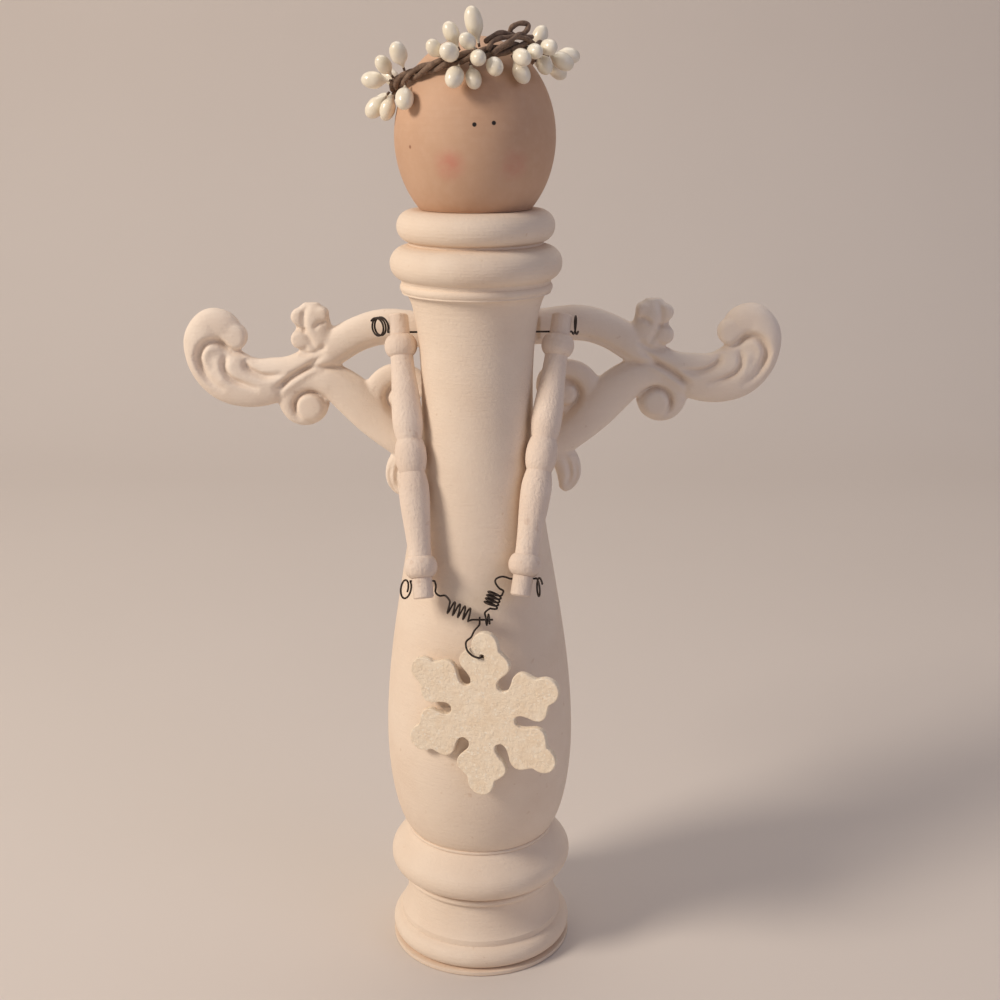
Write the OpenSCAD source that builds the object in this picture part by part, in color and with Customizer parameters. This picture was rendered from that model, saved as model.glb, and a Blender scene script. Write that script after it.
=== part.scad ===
// Turned-post angel doll: a painted table-leg post with a round head, carved scroll
// wings, two spindle arms on a shoulder wire, a curled hand wire with a hanging
// wooden snowflake, and a wreath of vine strands and pip berries on the head.
// Millimetres. The origin is the centre of the foot, +Z is up and -Y is the front.
// Left and right are as seen from the front.

/* [Post] */
// Radius of the foot plate
foot_r = 44.4; // [42:0.2:46]
// Height of the foot plate
foot_h = 2.2; // [1.5:0.1:3]
// Largest radius of the lower base bead
low_bead_r = 44.5; // [42.5:0.1:46]
// Height of the lower base bead
low_bead_h = 11.4; // [9:0.2:14]
// Radius of the step above the lower base bead
step_r = 40.2; // [39:0.1:41]
// Height of the cove in the base
cove_h = 17.2; // [14:0.2:20]
// Radius of the band under the upper base bead
waist_r = 36.4; // [35.5:0.1:37.5]
// Height of that band
waist_h = 5.9; // [4:0.1:8]
// Largest radius of the upper base bead
base_bead_r = 44.6; // [43:0.1:46]
// Radius of the upper base bead's nose
base_nose_r = 8.4; // [7.6:0.1:8.6]
// Height of the sloping shoulder above the nose's middle
base_shoulder_h = 15.5; // [12:0.5:20]
// Radius of the crease where the body meets the base
ankle_r = 35; // [32:0.5:37]
// Largest radius of the body
bulge_r = 45.1; // [42:0.1:48]
// Height of the body from the crease to its widest place
bulge_h = 50; // [40:1:60]
// Height of the body from its widest place to its narrowest
taper_h = 171; // [160:1:185]
// Radius of the narrowest place
neck_r = 25.7; // [25:0.1:25.9]
// Height of the flare under the collars
flare_h = 43.8; // [38:0.2:50]
// How far the flare spreads
flare_w = 7.2; // [6:0.1:8]
// Radius of the band under the collars
band_r = 33.8; // [33:0.1:34.6]
// Height of that band
band_h = 5; // [3:0.2:7]
// Largest radius of the lower collar
low_collar_r = 38.9; // [37:0.1:41]
// Height of the lower collar
low_collar_h = 15.4; // [12:0.2:18]
// Largest radius of the upper collar
top_collar_r = 35.6; // [34.4:0.1:38]
// Height of the upper collar
top_collar_h = 14.4; // [12:0.2:18]

/* [Head] */
// Largest radius of the head
head_r = 35.6; // [34:0.1:36.2]
// Height of the head's widest place above its seat
head_mid_h = 31; // [28:0.5:34]
// Half height of the oval below the widest place
head_low_h = 43.4; // [40:0.2:48]
// Half height of the oval above the widest place
head_top_h = 42.5; // [38:0.5:43]
// Diameter of the dowel in the neck
dowel_d = 10; // [6:0.5:14]
// Length of the dowel
dowel_l = 36; // [24:1:44]

/* [Arms] */
// Half length of an arm
arm_half_l = 65; // [63:0.5:70]
// Largest radius of the middle ball
ball_r = 7.2; // [6.4:0.1:7.4]
// Half height of the middle ball
ball_half_h = 7.5; // [6:0.1:9]
// Radius of the grooves beside the ball
groove_r = 5.7; // [5:0.1:6]
// Largest radius of the vase shapes
vase_r = 6.95; // [6.2:0.05:7.2]
// Radius of an arm beside its beads
wrist_r = 5.2; // [4.8:0.1:5.6]
// Largest radius of the beads
arm_bead_r = 7.5; // [6.8:0.1:7.6]
// Height of a bead
arm_bead_h = 9.6; // [8:0.2:11]
// Radius of the end pegs
peg_r = 4.6; // [4:0.1:5]
// Length of an end peg
peg_l = 9.6; // [8:0.2:12]
// Distance of each cross bore from the bead beside it
bore_step = 1.6; // [1.4:0.1:2.4]
// Height of the shoulder wire
shoulder_z = 308.4; // [304:0.2:311]
// Distance of the left shoulder from the middle
left_shoulder_x = 35.2; // [35:0.1:37]
// Distance of the right shoulder from the middle
right_shoulder_x = 38; // [37.6:0.1:40]
// How far the hands lie behind the front of the swelling body
hand_back = 6.1; // [1:0.1:6.5]
// Inward lean of the left arm in degrees
left_arm_in = 5.2; // [3:0.1:5.6]
// Inward lean of the right arm in degrees
right_arm_in = 8.8; // [7:0.1:9]

/* [Wires] */
// Diameter of the annealed wire
wire_d = 0.9; // [0.8:0.05:1]
// Radial clearance of a bore round the wire
wire_fit = 0.05; // [0.03:0.01:0.08]
// Radius of the stop coils outside the arms
stop_r = 4.1; // [3.4:0.1:4.6]
// Turns of the left stop coil at the shoulder
left_stop_turns = 2.5; // [1.5:0.25:3]
// Turns of the other stop coils
stop_turns = 1.25; // [1:0.25:2]
// Rise of a stop coil in each turn
stop_pitch = 1.5; // [1.45:0.05:2]
// Turn of the stop coil at the left shoulder in degrees
left_stop_turn = 48; // [0:1:60]
// Turn of the stop coil at the left hand in degrees
left_hand_turn = 26; // [0:1:60]
// Turn of both stop coils on the right in degrees
right_stop_turn = 12; // [0:1:60]
// Radius of the open curls on the left
left_curl_r = 2.9; // [2.4:0.1:3.1]
// Radius of the tight curls on the right
right_curl_r = 3.2; // [2.8:0.1:3.4]
// Number of curls on the left
left_curls = 4.5; // [3.5:1:5.5]
// Number of curls on the right
right_curls = 4.25; // [3.25:1:4.25]
// Place of the hanger bar between the hands, from the middle
hanger_x = 2.6; // [1:0.1:4]
// How far the hanger bar lies in front of the hands
hanger_out = 4.6; // [4:0.1:5.4]
// How far the hanger bar lies below the hands
hanger_low = 16.5; // [14.6:0.1:18]
// Length of the hanger bar
hanger_l = 8.6; // [7.5:0.1:9.5]
// Drop from the hanger bar to the hole in the snowflake
hook_drop = 14.2; // [13.6:0.1:15]

/* [Snowflake] */
// Thickness of the snowflake
flake_t = 3.2; // [2.6:0.1:3.4]
// Distance of the middle of each tip lobe from the snowflake's centre
tip_reach = 35.5; // [34:0.1:37]
// Radius of a tip lobe
tip_r = 4.6; // [4.2:0.1:5]
// Distance of the side lobes along an arm
side_reach = 26.5; // [25.5:0.1:27.5]
// Offset of the side lobes from an arm's axis
side_offset = 7.3; // [7:0.1:7.6]
// Radius of a side lobe
side_r = 5; // [4.6:0.1:5.3]
// Radius of the middle disc
core_r = 17.5; // [16:0.5:18]
// Width of the neck between tip and side lobes
tip_neck_w = 8.2; // [6:0.1:9]
// Distance of the round notch ends from the centre
notch_reach = 18.4; // [17:0.2:19.6]
// Radius of the round notch ends
notch_r = 3.2; // [2.6:0.1:3.6]
// Width of the notches
notch_w = 3.4; // [2.8:0.1:4]
// Distance of the hanging hole from the centre
hole_reach = 28.4; // [28:0.1:29]
// Resting turn of the snowflake in degrees
flake_turn = 2; // [0:0.5:5]
// Turn of the snowflake about the upright in degrees, its right side to the front
flake_yaw = 20; // [15:1:22]

/* [Wings] */
// Reach of a wing from its inner end to its tip
wing_reach = 146; // [140:1:150]
// How much nearer the middle the left wing sits
left_wing_shift = 4.5; // [3.5:0.5:5]
// Height of the wings' datum line
wing_z = 280; // [278:0.5:282]
// How much higher the right wing sits
right_wing_lift = 1.6; // [0:0.2:3]
// Thickness of a wing at its edges
wing_edge_t = 4.6; // [3.5:0.1:6]
// Crown of the carved face above the edges
wing_crown_t = 5.4; // [3:0.1:6]
// Distance of the flat seat behind the post's axis
seat_y = 24.4; // [24:0.1:24.8]
// How far the planed seat reaches beyond the screws
seat_margin = 14.8; // [14:0.1:18]
// Diameter of the wing screws
screw_d = 3.5; // [3:0.1:4]
// Length of the wing screws under the head
screw_l = 22; // [16:0.5:24]
// Diameter of the screw heads
screw_head_d = 7; // [6:0.1:8]
// Distance of the screws from a wing's inner end
screw_reach = 12.5; // [11:0.1:14]

/* [Wreath] */
// Half width of the vine ring
ring_rx = 33.8; // [33.6:0.1:35]
// Half depth of the vine ring
ring_ry = 31; // [30.8:0.1:32]
// Height of the ring's centre above the head's widest place
ring_up = 28.8; // [28.7:0.1:30]
// Shift of the ring to the left
ring_left = 2; // [1.5:0.1:2.5]
// Shift of the ring to the back
ring_back = 3; // [2.8:0.1:3.2]
// Sideways tilt of the ring in degrees
ring_side_tilt = 13; // [11:0.5:14]
// Backward tilt of the ring in degrees
ring_back_tilt = 8; // [6:0.5:9]
// Radius of a vine strand
strand_r = 1.2; // [1:0.05:1.25]
// Distance of the strands from the middle of their bundle
strand_off = 1.56; // [1.55:0.01:1.8]
// Twists of the strands round the ring
strand_twists = 7; // [5:1:9]
// Length of a pip berry
berry_l = 11.6; // [10.5:0.1:12]
// Diameter of a pip berry
berry_d = 7; // [6.4:0.1:7.2]
// Diameter of a berry's stem
stem_d = 1.1; // [0.8:0.1:1.4]

/* [Hidden] */

paint = "antiquewhite";
skin = "tan";
iron = "dimgray";
bark = "rosybrown";
ivory = "ivory";
birch = "burlywood";

// One overrun serves all cuts, and one small gap all glued or seated pieces
overrun = 1;
glue_gap = 0.1;
left = -1;
right = 1;

// Turned post
foot_ease = 0.5;
bead_depth = 5.9;
step_h = 1.4;
cove_lip = 2.6;
bulge_span_share = 1.044;
collar_seat = 0.5;
low_collar_depth = 7.6;
top_collar_depth = 7.2;
collar_groove_r = 30.4;
collar_groove_h = 1.5;
top_flat_h = 0.2;
turn_steps = 14;
body_steps = 34;

step_z = foot_h + low_bead_h;
cove_top_z = step_z + step_h + cove_h;
base_bead_z = cove_top_z + waist_h + base_nose_r;
ankle_z = base_bead_z + base_shoulder_h;
bulge_z = ankle_z + bulge_h;
neck_z = bulge_z + taper_h;
band_z = neck_z + flare_h;
low_collar_z = band_z + band_h + collar_seat + low_collar_h / 2;
groove_z = low_collar_z + low_collar_h / 2;
top_collar_z = groove_z + collar_groove_h + top_collar_h / 2;
post_top_z = top_collar_z + top_collar_h / 2 + top_flat_h;

// Part of the body's swell that is already there at the crease
crease_share = sqrt(1 - pow(1 / bulge_span_share, 2));
body_swell = (bulge_r - ankle_r) / (1 - crease_share);

// Head
head_z = post_top_z + head_mid_h;
head_steps = 22;
dowel_bore_r = dowel_d / 2 + glue_gap;
dowel_bore_l = dowel_l / 2 + glue_gap;

// Arms
ball_depth = 4.4;
ball_end_angle = acos((groove_r - ball_r + ball_depth) / ball_depth);
vase_swell_l = 8.4;
arm_bead_depth = 4.2;
arm_bead_angle = 64;
peg_ease = 0.7;
bead_mid = arm_half_l - peg_l - arm_bead_h / 2;
vase_top = bead_mid - arm_bead_h / 2;
bore_reach = arm_half_l - peg_l + bore_step;
hand_y = bulge_r - hand_back;
arm_lean = asin(hand_y / (2 * bore_reach));
wire_r = wire_d / 2;
bore_r = wire_r + wire_fit;

function shoulder_x(side) = side == left ? -left_shoulder_x : right_shoulder_x;
function arm_in(side) = side == left ? left_arm_in : right_arm_in;
function shoulder(side) = [shoulder_x(side), 0, shoulder_z];
function arm_way(side) = [-side * sin(arm_in(side)), -cos(arm_in(side)) * sin(arm_lean),
    -cos(arm_in(side)) * cos(arm_lean)];
function hand(side) = shoulder(side) + 2 * bore_reach * arm_way(side);

// Wires: counts of rings, and the sizes of the bends by hand
wire_sides = 6;
loop_rings = 24;
curl_rings = 8;
bend_steps = 4;
wire_core_share = 0.97;
stub = 1;
peg_exit = peg_r + stub;
hook_fit = 0.06;
pin_fit = 0.1;
eye_r = wire_d + hook_fit;
eye_gap_angle = 80;
eye_x = -1.6;
end_loop_r = 2.4;
end_loop_turns = 1.25;
end_loop_x = 1.1;
end_loop_start = [0, -0.5, 0.86];
to_front = -1;
to_back = 1;
stop_rise_share = 0.6;
stop_drop_share = 0.8;
half_turn = 5;
hanger_y = hand_y + hanger_out;
hanger_z = shoulder_z - 2 * bore_reach * cos(arm_lean) - hanger_low;
hanger = [hanger_x, -hanger_y, hanger_z];
hole_z = hanger_z - hook_drop;
// The snowflake hangs clear of the widest place of the body behind it
flake_room = 0.9;
flake_mid_y = -(bulge_r + flake_room + flake_t / 2 + hanger_x * sin(flake_yaw)) / cos(flake_yaw);
front_clear = 1.1;

// Routes of the wires by hand, from the inner end of a hand's bore or from the hanger bar
left_lead = [[0.6, -0.6, -2.2], [0.4, -1, -5], [2.2, -1.9, -6.4], [4.8, -1.6, -6.5]];
left_curl_from = [-16, 0.8, 6.2];
left_curl_to = [-5.6, 0.2, 2];
left_tail = [[-5.6, 0.9, -0.5], [-4.5, 0.2, -0.05], [-3.3, 0, 0]];
right_lead = [[-3.4, -0.8, 1.3], [-6.4, -1.8, 0.6], [-6.7, -2.4, -1.2], [-5, -2.7, -3.6],
    [-3.2, -2.2, -5]];
right_curl_from = [5.6, 1.2, 12.6];
right_curl_to = [3.2, 0.6, 6.1];
right_tail = [[1.6, -3, 5.4], [0.8, -2, 3.9]];
hook_route = [[0, 0.12, -0.95], [0, -0.45, -1.2], [-0.3, -0.75, -2.4], [-2.4, -0.8, -5]];
// From the middle of the snowflake's hole, turned with the snowflake
hook_bend = [[-6.8, 2.8, 7], [-7.8, 0.4, 6.2], [-7.4, -2.4, 5.6], [-6.4, -3.2, 3], [-4, -3.3, 0.8],
    [-1.4, -3.2, 0.1]];

// Snowflake
arm_count = 6;
arm_angle = 360 / arm_count;
flake_arm_w = 2 * side_offset;
// The hole lies beside the arm's axis, so that the centre hangs straight below it
hole_off = hole_reach * tan(flake_turn);

// Wings: the levels of relief as lower height, upper height and width, with the edge below
// the lowest, and the strokes in shares of the reach
wing_back_y = seat_y + wing_edge_t + wing_crown_t / 2;
relief_shares = [[-1, 0, 1], [0, 0.6, 0.72], [0.6, 1, 0.4]];
corner_ease = 0.5;
stroke_steps = 3;
pad_half_w = 29;
seat_room = wing_back_y - seat_y;
screw_head_h = 2.6;
screw_tip_l = 5;
scroll_shares = [[0.03, 0.16, 0.105], [0.2, 0.168, 0.115], [0.33, 0.18, 0.115],
    [0.425, 0.155, 0.112], [0.52, 0.1, 0.115], [0.61, 0.042, 0.11], [0.69, 0.008, 0.145],
    [0.775, -0.003, 0.165], [0.848, 0.02, 0.18], [0.9, 0.068, 0.165], [0.922, 0.138, 0.142],
    [0.902, 0.2, 0.1], [0.85, 0.205, 0.08], [0.816, 0.172, 0.06]];
c_scroll_shares = [[0.035, -0.268, 0.09], [0.15, -0.268, 0.09], [0.235, -0.24, 0.095],
    [0.31, -0.185, 0.11], [0.38, -0.118, 0.13], [0.445, -0.05, 0.135], [0.51, 0, 0.115],
    [0.58, 0.01, 0.09], [0.634, -0.014, 0.08], [0.656, -0.06, 0.066], [0.64, -0.104, 0.05],
    [0.6, -0.123, 0.036], [0.556, -0.106, 0.032], [0.538, -0.07, 0.028]];
inner_scroll_shares = [[0.25, -0.235, 0.07], [0.305, -0.165, 0.075], [0.36, -0.1, 0.08],
    [0.37, -0.036, 0.078], [0.334, 0.012, 0.072], [0.28, 0.026, 0.064], [0.228, 0, 0.06],
    [0.216, -0.05, 0.05]];
top_leaf_shares = [[0.535, 0.11, 0.11], [0.565, 0.165, 0.12], [0.574, 0.205, 0.116],
    [0.57, 0.238, 0.085], [0.566, 0.26, 0.03]];
low_leaf_shares = [[0.235, -0.235, 0.08], [0.285, -0.272, 0.088], [0.302, -0.32, 0.084],
    [0.295, -0.36, 0.062], [0.28, -0.384, 0.026]];
eye_place_share = [0.595, -0.066];
eye_r_share = 0.04;
bulb_place_share = [0.824, 0.15];
bulb_r_share = 0.048;
screw_low = c_scroll_shares[0][1] * wing_reach;
screw_top = scroll_shares[0][1] * wing_reach;
seat_low_z = wing_z + screw_low - seat_margin;
seat_top_z = wing_z + screw_top + seat_margin;

// Wreath
ring_z = head_z + ring_up;
ring_steps = 66;
strand_sides = 6;
strand_count = 3;
strand_start = 97;
strand_turn = 346;
loop_strand_r = 1.1;
// Place round the ring in degrees, way out from it and way up from it
loop_route = [[284, 0, 4.4], [290, 1.4, 5.8], [297, 1.2, 6.6], [304, 0, 5.4], [311, 0.2, 4.6],
    [318, 1.4, 6], [321, 1.6, 8.6], [315, 0.4, 9.6], [309, -1.4, 8.6], [309, -2.8, 6.4],
    [318, -2.4, 4.6], [330, -1, 4.2]];
bundle_r = strand_off + strand_r;
stem_gap = 0.12;
seat_span = 12;
seat_turn = 2;
seat_tries = 40;
stem_l = 1.6;
berry_mid_share = 0.6;
berry_steps = 5;

// Each berry is its place on the ring, its lift from the ring's plane, its swing
// along the ring, all in degrees, and its size as a share of the usual berry.
left_berry_shares = [[216, 48, 46, 1.05], [198, 40, 46, 0.95], [204, 16, -32, 1.05],
    [185, -32, -16, 1.12], [195, -56, -24, 0.95], [214, -48, 40, 1.12]];
front_left_berry_shares = [[252, 32, 0, 0.9], [263, 8, -8, 1.1], [266, 72, -40, 0.95]];
tall_berry_shares = [[279, 72, -8, 1.3], [279, 24, -32, 0.9]];
front_berry_shares = [[275, -16, 0, 0.95], [265, -40, -24, 1.1], [270, -64, 0, 0.95],
    [285, -40, -8, 1]];
front_right_berry_shares = [[300, -72, 32, 1], [300, -32, 0, 1]];
right_berry_shares = [[316, -24, -24, 0.9], [329, -16, -32, 0.95], [330, -56, -46, 0.95],
    [331, -40, 46, 1.05]];
back_right_berry_shares = [[35, 56, -40, 1], [8, -20, 0, 1], [24, -44, 0, 0.95], [40, 4, 10, 1.05]];
back_berry_shares = [[58, -34, 0, 1], [68, 30, 0, 1.05], [80, -10, 10, 0.95], [108, 48, 4, 1],
    [104, -20, 0, 1.05], [120, 10, 0, 1]];
back_left_berry_shares = [[136, -30, 0, 1], [148, 44, 0, 1], [158, -12, 0, 0.95], [166, -46, -6, 0.9]];

// Smooth step from 0 to 1
function smooth(t) = t * t * (3 - 2 * t);

// Points on an oval arc
function oval(c, s, a0, a1, n) = [for (i = [0:n]) let (a = a0 + (a1 - a0) * i / n)
    [c[0] + s[0] * cos(a), c[1] + s[1] * sin(a)]];

function unit(v) = v / norm(v);

// One span of a smooth curve through points of any size
function span(a, b, c, d, t) = 0.5 * (2 * b + (c - a) * t + (2 * a - 5 * b + 4 * c - d) * t * t
    + (3 * b - a - 3 * c + d) * t * t * t);

// A smooth curve through hand-chosen points, with n steps between neighbours
function through(p, n) = let (last = len(p) - 1) concat([for (i = [0:last - 1], k = [0:n - 1])
    span(p[max(i - 1, 0)], p[i], p[i + 1], p[min(i + 2, last)], k / n)], [p[last]]);

// A coil about a straight axis from a to b, turning from a starting side
function coil(a, b, r, turns, rings, start) = let (axis = unit(b - a),
    u = unit(start - (start * axis) * axis), v = cross(axis, u), n = round(turns * rings))
    [for (i = [0:n]) let (w = 360 * i / rings)
        a + (b - a) * i / n + r * (u * cos(w) + v * sin(w))];

// Directions along a path, and a side vector carried along it without twisting
function way(p, i) = unit(p[min(i + 1, len(p) - 1)] - p[max(i - 1, 0)]);
function flatten_side(s, w) = unit(s - (s * w) * w);
function sides(p, i, acc) = i == len(p) ? acc
    : sides(p, i + 1, concat(acc, [flatten_side(acc[i - 1], way(p, i))]));
function first_side(w) = flatten_side(abs(w[2]) < abs(w[0]) ? [0, 0, 1] : [1, 0, 0], w);

// Least gap of a wire to itself, between places more than half a turn apart
function least_gap(p, d, skip) = min([for (i = [0:len(p) - 1])
    for (j = [i + skip:1:len(p) - 1]) norm(p[i] - p[j])]) - d;

function ring_x() = [cos(ring_side_tilt), 0, sin(ring_side_tilt)];
function ring_y() = [0, cos(ring_back_tilt), -sin(ring_back_tilt)];
function ring_up_way() = unit(cross(ring_x(), ring_y()));
function ring_point(a) = [-ring_left, ring_back, ring_z]
    + ring_rx * cos(a) * ring_x() + ring_ry * sin(a) * ring_y();
function ring_along(a) = unit(-ring_rx * sin(a) * ring_x() + ring_ry * cos(a) * ring_y());
function ring_out(a) = cross(ring_along(a), ring_up_way());
function berry_way(a, lift, swing) = cos(lift) * (cos(swing) * ring_out(a)
    + sin(swing) * ring_along(a)) + sin(lift) * ring_up_way();

// A closed tube with flat ends along a path
module tube(p, r, n) {
    side = sides(p, 1, [first_side(way(p, 0))]);
    rings = len(p);
    points = [for (i = [0:rings - 1]) let (w = way(p, i), s = side[i], t = cross(w, s))
        for (k = [0:n - 1]) p[i] + r * (s * cos(360 * k / n) + t * sin(360 * k / n))];
    walls = [for (i = [0:rings - 2], k = [0:n - 1]) let (a = i * n + k, b = i * n + (k + 1) % n)
        each [[a, a + n, b], [b, a + n, b + n]]];
    caps = [for (k = [1:n - 2]) each [[0, k, k + 1],
        [(rings - 1) * n, (rings - 1) * n + k + 1, (rings - 1) * n + k]]];
    polyhedron(points, concat(walls, caps), convexity = 10);
}

// Post profile from the foot up to the seat of the head
function post_profile() = concat(
    [[0, 0], [foot_r - foot_ease, 0], [foot_r, foot_ease], [foot_r, foot_h]],
    oval([low_bead_r - bead_depth, foot_h + low_bead_h / 2], [bead_depth, low_bead_h / 2],
        -64, 66, turn_steps),
    [[step_r, step_z], [step_r, step_z + step_h]],
    oval([step_r + cove_lip, cove_top_z], [step_r - waist_r + cove_lip, cove_h],
        245, 180, turn_steps),
    oval([base_bead_r - base_nose_r, base_bead_z], [base_nose_r, base_nose_r],
        -88, 36, turn_steps),
    [for (i = [0:body_steps / 2]) let (t = 1 - 2 * i / body_steps)
        [bulge_r - body_swell * (1 - sqrt(1 - pow(t / bulge_span_share, 2))),
            bulge_z - bulge_h * t]],
    [for (i = [1:body_steps]) let (t = i / body_steps)
        [bulge_r + (neck_r - bulge_r) * smooth(t), bulge_z + taper_h * t]],
    [for (i = [1:turn_steps]) let (a = 88 * i / turn_steps)
        [neck_r + flare_w * (1 - cos(a)), neck_z + flare_h * sin(a)]],
    [[band_r, band_z], [band_r, band_z + band_h]],
    oval([low_collar_r - low_collar_depth, low_collar_z], [low_collar_depth, low_collar_h / 2],
        -66, 80, turn_steps),
    [[collar_groove_r, groove_z + collar_groove_h / 2]],
    oval([top_collar_r - top_collar_depth, top_collar_z], [top_collar_depth, top_collar_h / 2],
        -74, 84, turn_steps),
    [[0, post_top_z]]);

module cross_bore(p, l) {
    translate(p) rotate([0, 90, 0]) cylinder(r = bore_r, h = l, center = true, $fn = 32);
}

module post() {
    color(paint) difference() {
        rotate_extrude($fn = 96) polygon(post_profile());
        // Bore of the shoulder wire
        cross_bore([0, 0, shoulder_z], 2 * bulge_r);
        // Socket of the neck dowel
        translate([0, 0, post_top_z - dowel_bore_l])
            cylinder(r = dowel_bore_r, h = dowel_bore_l + overrun, $fn = 48);
        // Flat seat of the wings, planed on the back
        translate([-bulge_r, seat_y, seat_low_z])
            cube([2 * bulge_r, bulge_r, seat_top_z - seat_low_z]);
        screw_places() rotate([90, 0, 0]) cylinder(r = screw_d / 2 + glue_gap,
            h = screw_l, $fn = 32);
    }
}

module head() {
    color(skin) difference() {
        rotate_extrude($fn = 96) polygon(concat([[0, post_top_z]],
            oval([0, head_z], [head_r, head_low_h], -asin(head_mid_h / head_low_h), 0, head_steps),
            [for (i = [1:head_steps]) let (a = 90 * i / head_steps)
                [head_r * cos(a), head_z + head_top_h * sin(a)]]));
        translate([0, 0, post_top_z - overrun])
            cylinder(r = dowel_bore_r, h = dowel_bore_l + overrun, $fn = 48);
    }
}

module neck_dowel() {
    color(birch) translate([0, 0, post_top_z]) cylinder(d = dowel_d, h = dowel_l,
        center = true, $fn = 48);
}

// Half profile of an arm, from the ball's middle to the end of a peg
function arm_half() = concat(
    oval([ball_r - ball_depth, 0], [ball_depth, ball_half_h / sin(ball_end_angle)],
        0, ball_end_angle, turn_steps / 2),
    [for (i = [1:turn_steps / 2]) let (t = 2 * i / turn_steps)
        [groove_r + (vase_r - groove_r) * sin(90 * t), ball_half_h + vase_swell_l * t]],
    [for (i = [1:turn_steps]) let (t = i / turn_steps)
        [vase_r + (wrist_r - vase_r) * smooth(t),
            ball_half_h + vase_swell_l + (vase_top - ball_half_h - vase_swell_l) * t]],
    oval([arm_bead_r - arm_bead_depth, bead_mid],
        [arm_bead_depth, arm_bead_h / 2 / sin(arm_bead_angle)],
        -arm_bead_angle * 0.98, arm_bead_angle, turn_steps),
    [[peg_r, arm_half_l - peg_l], [peg_r, arm_half_l - peg_ease],
        [peg_r - peg_ease, arm_half_l], [0, arm_half_l]]);

module arm(side) {
    half = arm_half();
    profile = concat([for (i = [len(half) - 1:-1:1]) [half[i][0], -half[i][1]]], half);
    difference() {
        translate(shoulder(side)) rotate([-arm_lean, 0, 0]) rotate([0, side * arm_in(side), 0])
            translate([0, 0, -bore_reach]) rotate_extrude($fn = 64) polygon(profile);
        cross_bore(shoulder(side), 4 * peg_r);
        cross_bore(hand(side), 4 * peg_r);
    }
}

module left_arm() {
    color(paint) arm(left);
}

module right_arm() {
    color(paint) arm(right);
}

// A stop coil outside an arm: it starts on the bore's line and winds outwards, on the front
// or the back of that line
function stop_coil(p, side, turns, drop, turn, way) = let (
    back = sqrt(stop_r * stop_r - drop * drop),
    out = [side * sin(turn), way * cos(turn), 0],
    axis = [side * cos(turn), -way * sin(turn), 0],
    c = p + back * out - [0, 0, drop])
    coil(c, c + stop_pitch * turns * axis, stop_r, turns, loop_rings, p - c);
function turned_round(p) = [for (i = [len(p) - 1:-1:0]) p[i]];
function after_first(p) = [for (i = [1:len(p) - 1]) p[i]];

// Outer ends of the four bores in the pegs
function outer_end(p, side) = p + [side * peg_exit, 0, 0];

function left_stop() = stop_coil(outer_end(shoulder(left), left), left, left_stop_turns,
    -stop_r * stop_rise_share, left_stop_turn, to_back);
function right_stop() = stop_coil(outer_end(shoulder(right), right), right, stop_turns,
    -stop_r * stop_rise_share, right_stop_turn, to_back);

module shoulder_wire() {
    a = outer_end(shoulder(left), left) - [wire_d, 0, 0];
    b = outer_end(shoulder(right), right) + [wire_d, 0, 0];
    color(iron) {
        translate(a) rotate([0, 90, 0]) cylinder(r = wire_r, h = norm(b - a), $fn = 32);
        tube(left_stop(), wire_r * wire_core_share, wire_sides);
        tube(right_stop(), wire_r * wire_core_share, wire_sides);
    }
}

// A hand wire: stop coil, bore, lead, curls and tail in one unbroken line
function hand_path(side, lead, curls, tail) = let (h = hand(side), e = outer_end(h, -side)) concat(
    turned_round(stop_coil(outer_end(h, side), side, stop_turns, stop_r * stop_drop_share,
        side == left ? left_hand_turn : right_stop_turn, to_front)),
    through(concat([e], [for (q = lead) e + q], [curls[0]]), bend_steps),
    after_first(curls),
    after_first(through(concat([curls[len(curls) - 1]], [for (q = tail) hanger + q]), bend_steps)));

function left_path() = hand_path(left, left_lead, coil(hanger + left_curl_from,
    hanger + left_curl_to, left_curl_r, left_curls, curl_rings, [0, 0, 1]), left_tail);
function end_loop() = coil(hanger + [end_loop_x, 0, 0],
    hanger + [end_loop_x + stop_pitch * end_loop_turns, 0, 0], end_loop_r, end_loop_turns,
    loop_rings, end_loop_start);
function right_path() = concat(hand_path(right, right_lead, coil(hanger + right_curl_from,
    hanger + right_curl_to, right_curl_r, right_curls, curl_rings, [1, 0, 0]),
    concat(right_tail, [end_loop()[0] - hanger])), after_first(end_loop()));

module left_hand_wire() {
    color(iron) {
        tube(left_path(), wire_r * wire_core_share, wire_sides);
        // Straight bar that carries the hook
        translate(hanger - [hanger_l / 2, 0, 0]) rotate([0, 90, 0])
            cylinder(r = wire_r, h = hanger_l, $fn = 32);
    }
}

module right_hand_wire() {
    color(iron) tube(right_path(), wire_r * wire_core_share, wire_sides);
}

// The hook: an open eye on the bar, a bend round the snowflake's edge and a pin
eye_place = hanger + [eye_x, 0, 0];
hole_place = [hanger_x, flake_mid_y, hole_z];
function yawed(q) = [q[0] * cos(flake_yaw) + q[1] * sin(flake_yaw),
    q[1] * cos(flake_yaw) - q[0] * sin(flake_yaw), q[2]];
pin_place = hole_place - yawed([0, flake_t / 2 + front_clear + wire_d, 0]);
function hook_path() = through(concat([for (q = hook_route) eye_place + q],
    [for (q = hook_bend) hole_place + yawed(q)], [pin_place + yawed([0, wire_r, 0])]), bend_steps);

module snowflake_hook() {
    color(iron) {
        translate(eye_place) rotate([0, 90, 0]) rotate_extrude(angle = 360 - eye_gap_angle, $fn = 48)
            translate([eye_r, 0]) circle(r = wire_r, $fn = 32);
        tube(hook_path(), wire_r * wire_core_share, wire_sides);
        translate(pin_place) rotate([-90, 0, -flake_yaw]) cylinder(r = wire_r,
            h = flake_t + front_clear + 2 * wire_d, $fn = 32);
    }
}

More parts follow.
